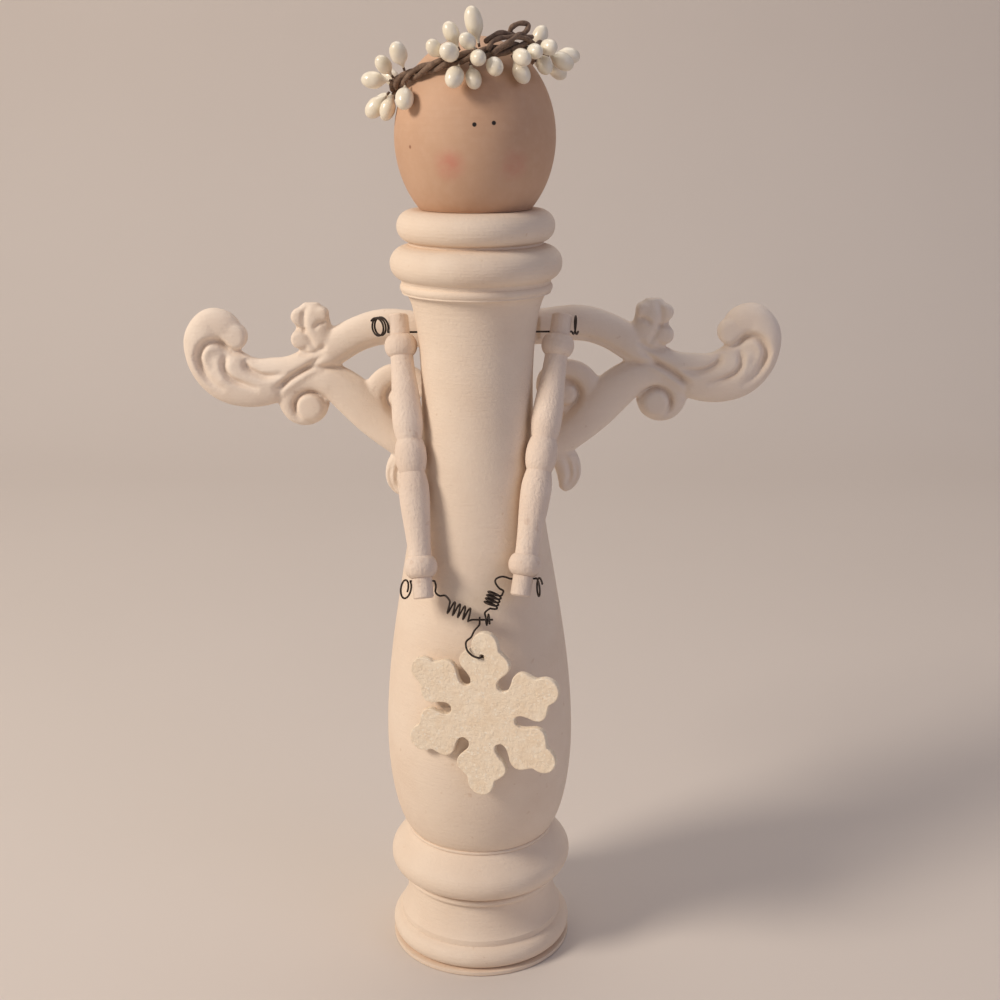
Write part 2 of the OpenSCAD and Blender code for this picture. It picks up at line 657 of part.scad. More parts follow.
echo(left_shoulder_coil_gap = least_gap(left_stop(), wire_d, half_turn));
echo(left_hand_wire_gap = least_gap(left_path(), wire_d, half_turn));
echo(right_hand_wire_gap = least_gap(right_path(), wire_d, half_turn));

module flake_outline() {
    difference() {
        union() {
            circle(r = core_r, $fn = 96);
            for (i = [0:arm_count - 1]) rotate(i * arm_angle) {
                translate([0, tip_reach]) circle(r = tip_r, $fn = 48);
                for (s = [left, right]) translate([s * side_offset, side_reach])
                    circle(r = side_r, $fn = 48);
                translate([-flake_arm_w / 2, 0]) square([flake_arm_w, side_reach]);
                translate([-tip_neck_w / 2, 0]) square([tip_neck_w, tip_reach]);
            }
        }
        for (i = [0:arm_count - 1]) rotate((i + 0.5) * arm_angle) {
            translate([0, notch_reach]) circle(r = notch_r, $fn = 48);
            translate([-notch_w / 2, notch_reach]) square([notch_w, tip_reach]);
        }
        translate([-hole_off, hole_reach]) circle(r = wire_r + pin_fit, $fn = 32);
    }
}

module snowflake() {
    color(ivory) translate(hole_place) rotate([0, 0, -flake_yaw]) translate([0, flake_t / 2, 0])
        rotate([90, flake_turn, 0]) translate([hole_off, -hole_reach, 0])
            linear_extrude(flake_t) flake_outline();
}

// One carved stroke of a wing as a flat ribbon, at a share of its full width
module stroke(shares, reach, width) {
    p = through(shares * reach, stroke_steps);
    last = len(p) - 1;
    normals = [for (i = [0:last]) let (a = p[max(i - 1, 0)], b = p[min(i + 1, last)],
        w = unit([b[0] - a[0], b[1] - a[1]])) [-w[1], w[0]]];
    polygon(concat(
        [for (i = [0:last]) [p[i][0], p[i][1]] + normals[i] * p[i][2] * width / 2],
        [for (i = [last:-1:0]) [p[i][0], p[i][1]] - normals[i] * p[i][2] * width / 2]));
}

// The strokes merge into one outline with its sharp inner corners eased
module wing_outline(reach, width) {
    offset(delta = -corner_ease) offset(delta = corner_ease) {
        stroke(scroll_shares, reach, width);
        stroke(c_scroll_shares, reach, width);
        stroke(inner_scroll_shares, reach, width);
        stroke(top_leaf_shares, reach, width);
        stroke(low_leaf_shares, reach, width);
        translate(eye_place_share * reach) circle(r = eye_r_share * reach * width, $fn = 32);
        translate(bulb_place_share * reach) circle(r = bulb_r_share * reach * width, $fn = 32);
    }
}

// A wing's board with its back at y = 0, carved in levels of relief
module wing_board(reach) {
    difference() {
        rotate([90, 0, 0]) for (l = relief_shares) {
            rise = wing_crown_t * (l[1] - l[0]);
            translate([0, 0, l[0] < 0 ? 0 : wing_edge_t + wing_crown_t * l[0] - overrun])
                linear_extrude(l[0] < 0 ? wing_edge_t : rise + overrun) wing_outline(reach, l[2]);
        }
        // Flat pad on the post's seat
        translate([-overrun, seat_y - wing_back_y - bulge_r, -reach])
            cube([pad_half_w + overrun, bulge_r, 2 * reach]);
        for (z = [screw_low, screw_top]) translate([screw_reach, overrun, z]) rotate([90, 0, 0])
            cylinder(r = screw_d / 2 + glue_gap, h = seat_room + 2 * overrun, $fn = 32);
    }
}

module screw_places() {
    for (z = [screw_low, screw_top]) {
        translate([left_wing_shift - screw_reach, wing_back_y, wing_z + z]) children();
        translate([screw_reach, wing_back_y, wing_z + right_wing_lift + z]) children();
    }
}

module left_wing() {
    color(paint) translate([left_wing_shift, wing_back_y, wing_z]) mirror([1, 0, 0])
        wing_board(wing_reach);
}

module right_wing() {
    color(paint) translate([0, wing_back_y, wing_z + right_wing_lift]) wing_board(wing_reach);
}

module wing_screws() {
    color(iron) screw_places() rotate([90, 0, 0]) rotate_extrude($fn = 48) polygon([
        [0, -screw_head_h], [screw_head_d / 4, -screw_head_h],
        [screw_head_d / 2, -screw_head_h / 3], [screw_head_d / 2, 0], [screw_d / 2, 0],
        [screw_d / 2, screw_l - screw_tip_l], [0, screw_l]]);
}

// Three vine strands twisted round each other, open at the back
function strand_point(i, a) = let (b = strand_twists * a + 360 * i / strand_count)
    ring_point(a) + strand_off * (cos(b) * ring_out(a) + sin(b) * ring_up_way());
function strand(i) = [for (k = [0:ring_steps])
    strand_point(i, strand_start + strand_turn * k / ring_steps)];

// Where a stem ends along its way, just clear of the nearest strand
function strand_gap(p, a) = min([for (i = [0:strand_count - 1], w = [-seat_span:seat_turn:seat_span])
    norm(strand_point(i, a + w) - p)]) - strand_r - stem_d / 2;
function stem_seat(a, d) = [for (k = [seat_tries:1:2 * seat_tries])
    if (strand_gap(ring_point(a) + bundle_r * d * k / seat_tries, a) > stem_gap)
        bundle_r * k / seat_tries][0];

module vine_strand(i) {
    color(bark) tube(strand(i), strand_r, strand_sides);
}

module vine_strand_a() {
    vine_strand(0);
}

module vine_strand_b() {
    vine_strand(1);
}

module vine_strand_c() {
    vine_strand(2);
}

// Loose end of vine that curls up above the ring at the front right
module vine_loop() {
    route = [for (q = loop_route) ring_point(q[0]) + q[1] * ring_out(q[0]) + q[2] * ring_up_way()];
    color(bark) tube(through(route, bend_steps), loop_strand_r, strand_sides);
}

// A pip berry standing on its stem along +Z
module berry(size) {
    r = size * berry_d / 2;
    l = size * berry_l;
    mid = l * berry_mid_share;
    rotate_extrude($fn = 32) polygon(concat(
        [[0, 0], [stem_d / 2, 0], [stem_d / 2, stem_l]],
        [for (i = [1:berry_steps - 1]) let (t = i / berry_steps)
            [stem_d / 2 + (r - stem_d / 2) * sin(90 * smooth(t)), stem_l + mid * t]],
        [for (i = [0:berry_steps]) let (a = 90 * i / berry_steps)
            [r * cos(a), stem_l + mid + (l - mid) * sin(a)]]));
}

module sprig(shares) {
    color(ivory) for (b = shares) {
        d = berry_way(b[0], b[1], b[2]);
        translate(ring_point(b[0]) + stem_seat(b[0], d) * d)
            rotate([0, acos(d[2]), atan2(d[1], d[0])]) berry(b[3]);
    }
}

module berries_left() {
    sprig(left_berry_shares);
}

module berries_front_left() {
    sprig(front_left_berry_shares);
}

module berries_tall() {
    sprig(tall_berry_shares);
}

module berries_front() {
    sprig(front_berry_shares);
}

module berries_front_right() {
    sprig(front_right_berry_shares);
}

module berries_right() {
    sprig(right_berry_shares);
}

module berries_back_right() {
    sprig(back_right_berry_shares);
}

module berries_back() {
    sprig(back_berry_shares);
}

module berries_back_left() {
    sprig(back_left_berry_shares);
}

post();
head();
neck_dowel();
left_wing();
right_wing();
wing_screws();
left_arm();
right_arm();
shoulder_wire();
left_hand_wire();
right_hand_wire();
snowflake_hook();
snowflake();
vine_strand_a();
vine_strand_b();
vine_strand_c();
vine_loop();
berries_left();
berries_front_left();
berries_tall();
berries_front();
berries_front_right();
berries_right();
berries_back_right();
berries_back();
berries_back_left();
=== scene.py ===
import math

import bpy
import numpy as np
from mathutils import Matrix, Vector


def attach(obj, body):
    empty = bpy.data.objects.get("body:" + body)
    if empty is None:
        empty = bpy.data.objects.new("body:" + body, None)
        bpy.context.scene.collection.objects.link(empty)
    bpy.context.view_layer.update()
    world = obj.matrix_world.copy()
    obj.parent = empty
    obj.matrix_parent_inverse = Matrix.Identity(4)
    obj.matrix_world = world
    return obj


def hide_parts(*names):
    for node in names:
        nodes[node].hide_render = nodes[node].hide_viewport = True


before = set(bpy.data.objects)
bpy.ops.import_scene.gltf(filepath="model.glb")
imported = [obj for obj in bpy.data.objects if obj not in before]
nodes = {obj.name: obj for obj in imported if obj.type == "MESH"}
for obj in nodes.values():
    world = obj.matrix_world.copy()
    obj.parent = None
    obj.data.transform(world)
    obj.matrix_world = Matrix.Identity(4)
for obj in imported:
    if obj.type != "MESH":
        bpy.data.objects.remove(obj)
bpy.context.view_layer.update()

MM = 0.001

# How far a tube's end reaches past its path, and how wide it is there, in radii
END_REACH = 0.5
END_WAIST = 0.6
# A turned profile starts and ends this near its axis
AXIS_R = 0.001


# Curves and sweeps, in millimetres
def unit(v):
    return v / np.linalg.norm(v)


def through(points, n):
    """A smooth curve through points, with n steps between neighbours."""
    p = np.array(points, float)
    last = len(p) - 1
    out = []
    for i in range(last):
        a, b, c, d = p[max(i - 1, 0)], p[i], p[i + 1], p[min(i + 2, last)]
        for k in range(n):
            t = k / n
            out.append(0.5 * (2 * b + (c - a) * t + (2 * a - 5 * b + 4 * c - d) * t * t
                              + (3 * b - a - 3 * c + d) * t ** 3))
    return np.array(out + [p[last]])


def coil(a, b, r, turns, rings, start):
    """A helix about the line from a to b that sets out towards start."""
    a, b, start = (np.array(v, float) for v in (a, b, start))
    axis = unit(b - a)
    u = unit(start - (start @ axis) * axis)
    v = np.cross(axis, u)
    n = round(turns * rings)
    w = 2 * math.pi * np.arange(n + 1) / rings
    return (a + (b - a) * (np.arange(n + 1) / n)[:, None]
            + r * (np.cos(w)[:, None] * u + np.sin(w)[:, None] * v))


def ring_faces(rings, sides):
    """Faces between neighbouring rings of points, with a cap on the first and the last."""
    faces = [(i * sides + k, i * sides + (k + 1) % sides,
              (i + 1) * sides + (k + 1) % sides, (i + 1) * sides + k)
             for i in range(rings - 1) for k in range(sides)]
    faces.append(tuple(range(sides - 1, -1, -1)))
    faces.append(tuple((rings - 1) * sides + k for k in range(sides)))
    return faces


def sweep(path, radius, sides):
    """Vertices and faces of a closed tube whose ends are rounded off."""
    p = np.array(path, float)
    count = len(p)
    r = np.broadcast_to(np.array(radius, float), (count,))
    way = np.array([unit(p[min(i + 1, count - 1)] - p[max(i - 1, 0)]) for i in range(count)])
    side = np.array([0, 0, 1.0]) if abs(way[0][2]) < 0.8 else np.array([1.0, 0, 0])
    angles = 2 * math.pi * np.arange(sides) / sides
    verts = []
    for i in range(count):
        side = unit(side - (side @ way[i]) * way[i])
        up = np.cross(way[i], side)
        ring = np.cos(angles)[:, None] * side + np.sin(angles)[:, None] * up
        if i == 0:
            verts.append(p[0] - way[0] * r[0] * END_REACH + ring * r[0] * END_WAIST)
        verts.append(p[i] + ring * r[i])
        if i == count - 1:
            verts.append(p[i] + way[i] * r[i] * END_REACH + ring * r[i] * END_WAIST)
    return np.concatenate(verts), ring_faces(count + 2, sides)


def lathe(profile, segments):
    """Vertices and faces of a profile of radius and height turned about Z, capped at both ends."""
    angles = 2 * math.pi * np.arange(segments) / segments
    verts = [np.stack([r * np.cos(angles), r * np.sin(angles), np.full(segments, z)], 1)
             for r, z in np.array(profile, float)]
    return np.concatenate(verts), ring_faces(len(profile), segments)


def join(pieces):
    """Several vertex and face lists as one."""
    verts, faces, base = [], [], 0
    for v, f in pieces:
        verts.append(v)
        faces += [tuple(i + base for i in face) for face in f]
        base += len(v)
    return np.concatenate(verts), faces


def mesh_object(name, verts, faces, material):
    mesh = bpy.data.meshes.new(name)
    mesh.from_pydata((np.array(verts) * MM).tolist(), [], faces)
    mesh.validate()
    mesh.update()
    mesh.polygons.foreach_set("use_smooth", [True] * len(mesh.polygons))
    obj = bpy.data.objects.new(name, mesh)
    bpy.context.scene.collection.objects.link(obj)
    if material:
        mesh.materials.append(material)
    return obj


def points_of(mesh):
    """A mesh's vertices as rows of an array, in the mesh's own unit."""
    flat_list = np.zeros(len(mesh.vertices) * 3)
    mesh.vertices.foreach_get("co", flat_list)
    return flat_list.reshape(-1, 3)


def made_mesh(obj):
    """The mesh that an object's curve or modifiers make. The object itself is removed."""
    mesh = bpy.data.meshes.new_from_object(obj.evaluated_get(bpy.context.evaluated_depsgraph_get()))
    bpy.data.objects.remove(obj)
    return mesh


def dress(obj, node, body):
    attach(obj, body)
    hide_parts(node)


# Materials
def grey(value):
    return (value, value, value, 1)


class Look:
    """A node material with one shader and helpers for its links."""

    def __init__(self, name):
        self.material = bpy.data.materials.new(name)
        self.material.use_nodes = True
        self.tree = self.material.node_tree
        self.shader = self.tree.nodes["Principled BSDF"]
        self.place = self.add("ShaderNodeTexCoord").outputs["Object"]

    def add(self, kind, **sockets):
        node = self.tree.nodes.new(kind)
        for key, value in sockets.items():
            node.inputs[key.replace("_", " ")].default_value = value
        return node

    def link(self, a, b):
        self.tree.links.new(a, b)

    def surface(self, colour, **sockets):
        """Link the base colour, and set other sockets of the shader to plain values."""
        self.link(colour, self.shader.inputs["Base Color"])
        for key, value in sockets.items():
            self.shader.inputs[key.replace("_", " ")].default_value = value

    def roughness(self, value, a, b):
        """Roughness that goes from a to b as a value goes from 0 to 1."""
        self.link(self.ramp(value, 0, 1, grey(a), grey(b)), self.shader.inputs["Roughness"])

    def scaled(self, factors):
        node = self.add("ShaderNodeMapping")
        node.inputs["Scale"].default_value = factors
        self.link(self.place, node.inputs["Vector"])
        return node.outputs["Vector"]

    def noise(self, scale, detail=4.0, rough=0.55, vector=None):
        node = self.add("ShaderNodeTexNoise", Scale=scale, Detail=detail, Roughness=rough)
        self.link(vector or self.place, node.inputs["Vector"])
        return node.outputs["Fac"]

    def ramp(self, value, low, high, a=grey(0), b=grey(1)):
        node = self.add("ShaderNodeValToRGB")
        node.color_ramp.elements[0].position = low
        node.color_ramp.elements[1].position = high
        node.color_ramp.elements[0].color = a
        node.color_ramp.elements[1].color = b
        self.link(value, node.inputs["Fac"])
        return node.outputs["Color"]

    def mix(self, factor, a, b):
        node = self.tree.nodes.new("ShaderNodeMix")
        node.data_type = "RGBA"
        self.link(factor, node.inputs["Factor"])
        for value, socket in ((a, node.inputs[6]), (b, node.inputs[7])):
            if isinstance(value, tuple):
                socket.default_value = value
            else:
                self.link(value, socket)
        return node.outputs[2]

    def math(self, kind, a, b):
        node = self.tree.nodes.new("ShaderNodeMath")
        node.operation = kind
        for value, socket in ((a, node.inputs[0]), (b, node.inputs[1])):
            if isinstance(value, (int, float)):
                socket.default_value = value
            else:
                self.link(value, socket)
        return node.outputs[0]

    def near(self, point, low, high):
        """1 near a point in millimetres, falling to 0 between two distances."""
        node = self.tree.nodes.new("ShaderNodeVectorMath")
        node.operation = "DISTANCE"
        self.link(self.place, node.inputs[0])
        node.inputs[1].default_value = [c * MM for c in point]
        span = self.tree.nodes.new("ShaderNodeMapRange")
        span.interpolation_type = "SMOOTHSTEP"
        self.link(node.outputs["Value"], span.inputs["Value"])
        span.inputs["From Min"].default_value = low * MM
        span.inputs["From Max"].default_value = high * MM
        span.inputs["To Min"].default_value = 1
        span.inputs["To Max"].default_value = 0
        return span.outputs["Result"]

    def bump(self, height, strength, distance):
        node = self.add("ShaderNodeBump", Strength=strength, Distance=distance * MM)
        self.link(height, node.inputs["Height"])
        self.link(node.outputs["Normal"], self.shader.inputs["Normal"])


# Reach in millimetres and share of the painted shade in creases, and shares of thin paint and specks
CREASE_SHADE_REACH = 3.5
CREASE_SHADE = 0.6
THIN_SHARE = 0.42
SPECK_SHARE = 0.35


def painted(name, colour, wear_and_shade, dust, grain=(90, 90, 900), relief=0.45, specks=0.7):
    """Matte brushed paint with faint lines along the grain, thin places, and painted shade that darkens the
    creases.
    """
    look = Look(name)
    mottle = look.ramp(look.noise(38, 5), 0.38, 0.68)
    body = look.mix(mottle, colour, dust)
    streak = look.noise(1, 5, 0.7, look.scaled(grain))
    thin = look.ramp(streak, 0.66, 0.8)
    speck = look.ramp(look.noise(210, 2), specks, specks + 0.06)
    body = look.mix(look.math("MULTIPLY", thin, THIN_SHARE), body, wear_and_shade)
    body = look.mix(look.math("MULTIPLY", speck, SPECK_SHARE), body, wear_and_shade)
    # Painted shade: where ambient occlusion finds a crease, the colour is darkened towards the worn colour
    hollow = look.add("ShaderNodeAmbientOcclusion", Distance=CREASE_SHADE_REACH * MM)
    hollow.samples = 8
    body = look.mix(look.ramp(hollow.outputs["AO"], 0.3, 0.8, grey(CREASE_SHADE), grey(0)), body, wear_and_shade)
    look.surface(body, Specular_IOR_Level=0.3)
    look.roughness(mottle, 0.62, 0.78)
    brushed = look.math("MULTIPLY", streak, 0.8)
    fine = look.math("MULTIPLY", look.noise(700, 3), 0.7)
    look.bump(look.math("ADD", brushed, fine), 0.6, relief)
    return look.material


ivory = painted("ivory_paint", colour=(0.83, 0.70, 0.57, 1), wear_and_shade=(0.62, 0.44, 0.30, 1),
                dust=(0.79, 0.65, 0.52, 1))
wing_paint = painted("wing_paint", colour=(0.86, 0.75, 0.64, 1), wear_and_shade=(0.62, 0.47, 0.36, 1),
                     dust=(0.81, 0.69, 0.58, 1))
arm_paint = painted("arm_paint", colour=(0.84, 0.71, 0.60, 1), wear_and_shade=(0.62, 0.45, 0.34, 1),
                    dust=(0.78, 0.64, 0.53, 1), grain=(650, 650, 40), relief=1.0, specks=0.64)

# Flesh paint with blushed cheeks, two dot eyes and a nick, at places in millimetres
CHEEKS = (((-10.6, -33.0, 384.2), 0.62), ((17.0, -30.2, 384.1), 0.5))
DOT_EYES = ((0.3, -35.2, 400.8), (8.4, -34.2, 401.4))
NICK = (-27.4, -22.6, 391.4)
FLESH_LIGHT, FLESH_DARK = (0.60, 0.385, 0.255, 1), (0.545, 0.335, 0.215, 1)
PORE_COLOUR, BLUSH_COLOUR = (0.66, 0.46, 0.33, 1), (0.60, 0.21, 0.155, 1)
NICK_COLOUR, DOT_COLOUR = (0.30, 0.14, 0.08, 1), (0.012, 0.008, 0.007, 1)
flesh = Look("flesh_paint")
tone = flesh.mix(flesh.ramp(flesh.noise(30, 5), 0.35, 0.7), FLESH_LIGHT, FLESH_DARK)
pores = flesh.ramp(flesh.noise(260, 3), 0.45, 0.75)
tone = flesh.mix(flesh.math("MULTIPLY", pores, 0.22), tone, PORE_COLOUR)
for spot, amount in CHEEKS:
    patchy = flesh.ramp(flesh.noise(110, 4), 0.3, 0.62)
    blush = flesh.math("MULTIPLY", flesh.near(spot, 1.0, 9.5), patchy)
    tone = flesh.mix(flesh.math("MULTIPLY", blush, amount), tone, BLUSH_COLOUR)
tone = flesh.mix(flesh.near(NICK, 0.3, 1.1), tone, NICK_COLOUR)
for spot in DOT_EYES:
    tone = flesh.mix(flesh.near(spot, 0.75, 1.1), tone, DOT_COLOUR)
flesh.surface(tone, Roughness=0.62, Specular_IOR_Level=0.35)
flesh.bump(flesh.noise(420, 4), 0.25, 0.2)

# Dark annealed wire
wire_look = Look("annealed_wire")
wire_tone = wire_look.mix(wire_look.noise(300, 3), (0.02, 0.014, 0.012, 1), (0.055, 0.04, 0.033, 1))
wire_look.surface(wire_tone, Metallic=0.7, Roughness=0.5)
wire_look.bump(wire_look.noise(1500, 2), 0.2, 0.05)

# Dull steel of the screws
steel = Look("steel_screw")
steel_tone = steel.mix(steel.noise(400, 3), (0.20, 0.19, 0.18, 1), (0.34, 0.33, 0.31, 1))
steel.surface(steel_tone, Metallic=1.0, Roughness=0.45)

# Bare birch of the dowel
birch = Look("birch")
birch_grain = birch.noise(1, 4, 0.6, birch.scaled((500, 500, 30)))
birch.surface(birch.mix(birch_grain, (0.62, 0.43, 0.25, 1), (0.70, 0.52, 0.32, 1)), Roughness=0.7)

# Cream flake with coarse gesso texture and bright glitter
flake_look = Look("glitter_flake")
grainy = flake_look.ramp(flake_look.noise(160, 5, 0.65), 0.35, 0.7)
cream = flake_look.mix(grainy, (0.88, 0.73, 0.55, 1), (0.93, 0.82, 0.66, 1))
cells = flake_look.add("ShaderNodeTexVoronoi", Scale=1100)
flake_look.link(flake_look.place, cells.inputs["Vector"])
pick = flake_look.add("ShaderNodeSeparateColor")
flake_look.link(cells.outputs["Color"], pick.inputs["Color"])
glint = flake_look.ramp(pick.outputs["Red"], 0.93, 0.97)
cream = flake_look.mix(flake_look.math("MULTIPLY", glint, 0.6), cream, (0.97, 0.90, 0.77, 1))
flake_look.surface(cream)
flake_look.roughness(glint, 0.6, 0.32)
lumps = flake_look.noise(380, 5, 0.68)
sparkle = flake_look.math("MULTIPLY", pick.outputs["Green"], 0.12)
flake_look.bump(flake_look.math("ADD", lumps, sparkle), 0.8, 1.1)

# Brown-grey bark
bark = Look("vine_bark")
fibre = bark.noise(520, 5, 0.7)
bark_tone = bark.mix(bark.ramp(fibre, 0.3, 0.75), (0.10, 0.062, 0.042, 1), (0.30, 0.20, 0.14, 1))
bark.surface(bark_tone, Roughness=0.85)
bark.bump(fibre, 0.7, 0.5)

# Glossy ivory pips
pip = Look("pip_berry")
pip_blotch = pip.ramp(pip.noise(120, 3), 0.35, 0.7)
pip_tone = pip.mix(pip_blotch, (0.84, 0.76, 0.60, 1), (0.90, 0.85, 0.73, 1))
pip.surface(pip_tone, Roughness=0.28, Coat_Weight=0.25)
pip.bump(pip.noise(300, 2), 0.08, 0.2)


# Solids that show as they are
def paint(node, look):
    obj = nodes[node]
    obj.data.materials.clear()
    obj.data.materials.append(look)


paint("post", ivory)
paint("head", flesh.material)
paint("left_arm", arm_paint)
paint("right_arm", arm_paint)
paint("neck_dowel", birch.material)
paint("wing_screws", steel.material)

# Thin turned rings on the post: under the foot's upper bead, in the crease above it and under the collars
# Each has the radius of its round's middle, the round's own radius and its height
POST_RINGS = {
    "foot_ring": (36.7, 2.1, 36.0),
    "crease_ring": (35.2, 1.0, 61.9),
    "band_ring": (32.1, 2.5, 329.3),
}
RING_INSET = 2.0
ROUND_STEPS = 11
RING_SEGMENTS = 128
for name, (middle_r, round_r, z) in POST_RINGS.items():
    half_round = [(middle_r + round_r * math.cos(a), z + round_r * math.sin(a))
                  for a in np.linspace(-math.pi / 2, math.pi / 2, ROUND_STEPS)]
    core_r = middle_r - RING_INSET
    rim_profile = [(core_r, z - round_r)] + half_round + [(core_r, z + round_r)]
    ring = mesh_object(name, *lathe(rim_profile, RING_SEGMENTS), ivory)
    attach(ring, "doll")

# Wires: the left side is -1 and the right side is 1
WIRE_R = 0.45
TUBE_SIDES = 10
BEND_STEPS = 10
PEG_EXIT = 5.6
STOP_R = 4.1
STOP_PITCH = 1.5
STOP_STEPS = 40
STOP_TURN = {-1: math.radians(48), 1: math.radians(12)}
HAND_TURN = {-1: math.radians(26), 1: math.radians(12)}
# Turns of the stop coils, and how far their middles lie below the bore, in shares of their radius
LONG_STOP, SHORT_STOP = 2.5, 1.25
SHOULDER_DROP, HAND_DROP = -0.6, 0.8
# Height of the shoulder bores, half the way between an arm's bores, and how far forward its lean reaches
SHOULDER_Z = 308.4
BORE_REACH = 57
HAND_FORWARD = 39
LEAN = math.asin(HAND_FORWARD / (2 * BORE_REACH))
INWARD = {-1: math.radians(5.2), 1: math.radians(8.8)}
SHOULDERS = {-1: np.array([-35.2, 0, SHOULDER_Z]), 1: np.array([38.0, 0, SHOULDER_Z])}
# The bar between the hands, from which the snowflake hangs
HANGER_X, HANGER_Y, HANGER_LOW = 2.6, -43.6, 16.5
HANGER = np.array([HANGER_X, HANGER_Y, SHOULDER_Z - 2 * BORE_REACH * math.cos(LEAN) - HANGER_LOW])
X = np.array([1.0, 0, 0])
UP = np.array([0, 0, 1.0])
# Bends of the hand wires: leads from the peg's mouth, tails from the hanger
LEFT_LEAD = [(0.6, -0.6, -2.2), (0.4, -1, -5), (2.2, -1.9, -6.4), (4.8, -1.6, -6.5)]
LEFT_TAIL = [(-5.6, 0.9, -0.5), (-4.5, 0.2, -0.05), (-3.3, 0, 0)]
RIGHT_LEAD = [(-3.4, -0.8, 1.3), (-6.4, -1.8, 0.6), (-6.7, -2.4, -1.2), (-5, -2.7, -3.6), (-3.2, -2.2, -5)]
RIGHT_TAIL = [(1.6, -3, 5.4), (0.8, -2, 3.9)]
BAR_END = 4.3
LEFT_CURL_R, LEFT_CURL_TURNS = 2.9, 4.5
RIGHT_CURL_R, RIGHT_CURL_TURNS = 3.2, 4.25
CURL_STEPS = 28
# The right wire's open loop round the bar
LOOP_FROM, LOOP_TO = 1.1, 2.975
END_LOOP_R, END_LOOP_TURNS, END_LOOP_STEPS = 2.4, 1.25, 32


def hand(side):
    """Middle of the bore at an arm's lower end."""
    inward = INWARD[side]
    way = np.array([-side * math.sin(inward), -math.cos(inward) * math.sin(LEAN),
                    -math.cos(inward) * math.cos(LEAN)])
    return SHOULDERS[side] + 2 * BORE_REACH * way


def stop_coil(p, side, turns, drop, way):
    """A coil that starts at p and winds outwards, in front of p (way -1) or behind it (way 1)."""
    turn = (HAND_TURN if way < 0 else STOP_TURN)[side]
    out = np.array([side * math.sin(turn), way * math.cos(turn), 0])
    axis = np.array([side * math.cos(turn), -way * math.sin(turn), 0])
    c = p + math.sqrt(STOP_R ** 2 - drop ** 2) * out - np.array([0, 0, drop])
    return coil(c, c + STOP_PITCH * turns * axis, STOP_R, turns, STOP_STEPS, p - c)


def hand_path(side, lead, curls, tail):
    """A hand wire from its stop coil through the peg and along its curls to the hanger."""
    h = hand(side)
    e = h - side * PEG_EXIT * X
    outer = stop_coil(h + side * PEG_EXIT * X, side, SHORT_STOP, STOP_R * HAND_DROP, -1)[::-1]
    run = through([e] + [e + np.array(q) for q in lead] + [curls[0]], BEND_STEPS)
    end = through([curls[-1]] + [HANGER + np.array(q) for q in tail], BEND_STEPS)
    return np.concatenate([outer, run, curls[1:], end[1:]])


left_curls = coil(HANGER + [-16, 0.8, 6.2], HANGER + [-5.6, 0.2, 2],
                  LEFT_CURL_R, LEFT_CURL_TURNS, CURL_STEPS, (0, 0, 1))
left_path = hand_path(-1, LEFT_LEAD, left_curls, LEFT_TAIL)
left_path = np.concatenate([left_path, [HANGER + BAR_END * X]])
right_curls = coil(HANGER + [5.6, 1.2, 12.6], HANGER + [3.2, 0.6, 6.1],
                   RIGHT_CURL_R, RIGHT_CURL_TURNS, CURL_STEPS, (1, 0, 0))
end_loop = coil(HANGER + LOOP_FROM * X, HANGER + LOOP_TO * X,
                END_LOOP_R, END_LOOP_TURNS, END_LOOP_STEPS, (0, -0.5, 0.86))
right_path = hand_path(1, RIGHT_LEAD, right_curls, RIGHT_TAIL + [end_loop[0] - HANGER])
right_path = np.concatenate([right_path, end_loop[1:]])
shoulder_path = np.concatenate([
    stop_coil(SHOULDERS[-1] - PEG_EXIT * X, -1, LONG_STOP, STOP_R * SHOULDER_DROP, 1)[::-1],
    stop_coil(SHOULDERS[1] + PEG_EXIT * X, 1, SHORT_STOP, STOP_R * SHOULDER_DROP, 1)])

# The hook: an open eye on the bar, a bend round the snowflake's edge and a pin in its hole
HOOK_EYE_X = 1.6
HOOK_EYE_R = 0.96
YAW = math.radians(20)
HOLE_Y, HOLE_LOW = -51.601, 14.2
PIN_BACK = 2.4
HOOK_ROUTE = [(0, -0.45, -1.2), (-0.3, -0.75, -2.4), (-2.4, -0.8, -5)]
# Places to the right of the hole, behind it and above it
HOOK_BEND = [(-6.8, 2.8, 7), (-7.8, 0.4, 6.2), (-7.4, -2.4, 5.6), (-6.4, -3.2, 3), (-4, -3.3, 0.8),
             (-1.4, -3.2, 0.1), (-0.2, -2.6, 0)]
HOLE = np.array([HANGER_X, HOLE_Y, HANGER[2] - HOLE_LOW])
RIGHTWARD = np.array([math.cos(YAW), -math.sin(YAW), 0])
BACKWARD = np.array([math.sin(YAW), math.cos(YAW), 0])
hook_eye = HANGER - HOOK_EYE_X * X
eye_path = [hook_eye + HOOK_EYE_R * np.array([0, math.cos(w), math.sin(w)])
            for w in np.radians(np.linspace(-80, -350, 40))]
bend = [HOLE + q[0] * RIGHTWARD + q[1] * BACKWARD + np.array([0, 0, q[2]]) for q in HOOK_BEND]
hook_run = through([hook_eye + np.array(q) for q in HOOK_ROUTE] + bend, BEND_STEPS)
hook_path = np.concatenate([np.array(eye_path)[::-1], hook_run, [HOLE + PIN_BACK * BACKWARD]])

# Snowflake: half an arm from the notch to the tip, as places along and across the arm
HALF_ARM = [(13.3, 7.7), (14.4, 6.5), (17.0, 6.5), (19.8, 8.5), (22.4, 11.0), (25.4, 12.0), (28.2, 11.0),
            (30.4, 8.6), (32.2, 6.6), (34.8, 6.2), (37.5, 5.0), (39.5, 2.6), (40.1, 0)]
ARM_COUNT = 6
ARM_STEPS = 6
FLAKE_T = 3.2
FLAKE_ROUND = 0.45
FLAKE_TURN = math.radians(2)
HOLE_REACH = 28.4
HOLE_R = 0.6
HOLE_SIDES = 24
# A face whose normal is this near to the flake's own belongs to its flat front or back
FLAT_FACE = 0.99


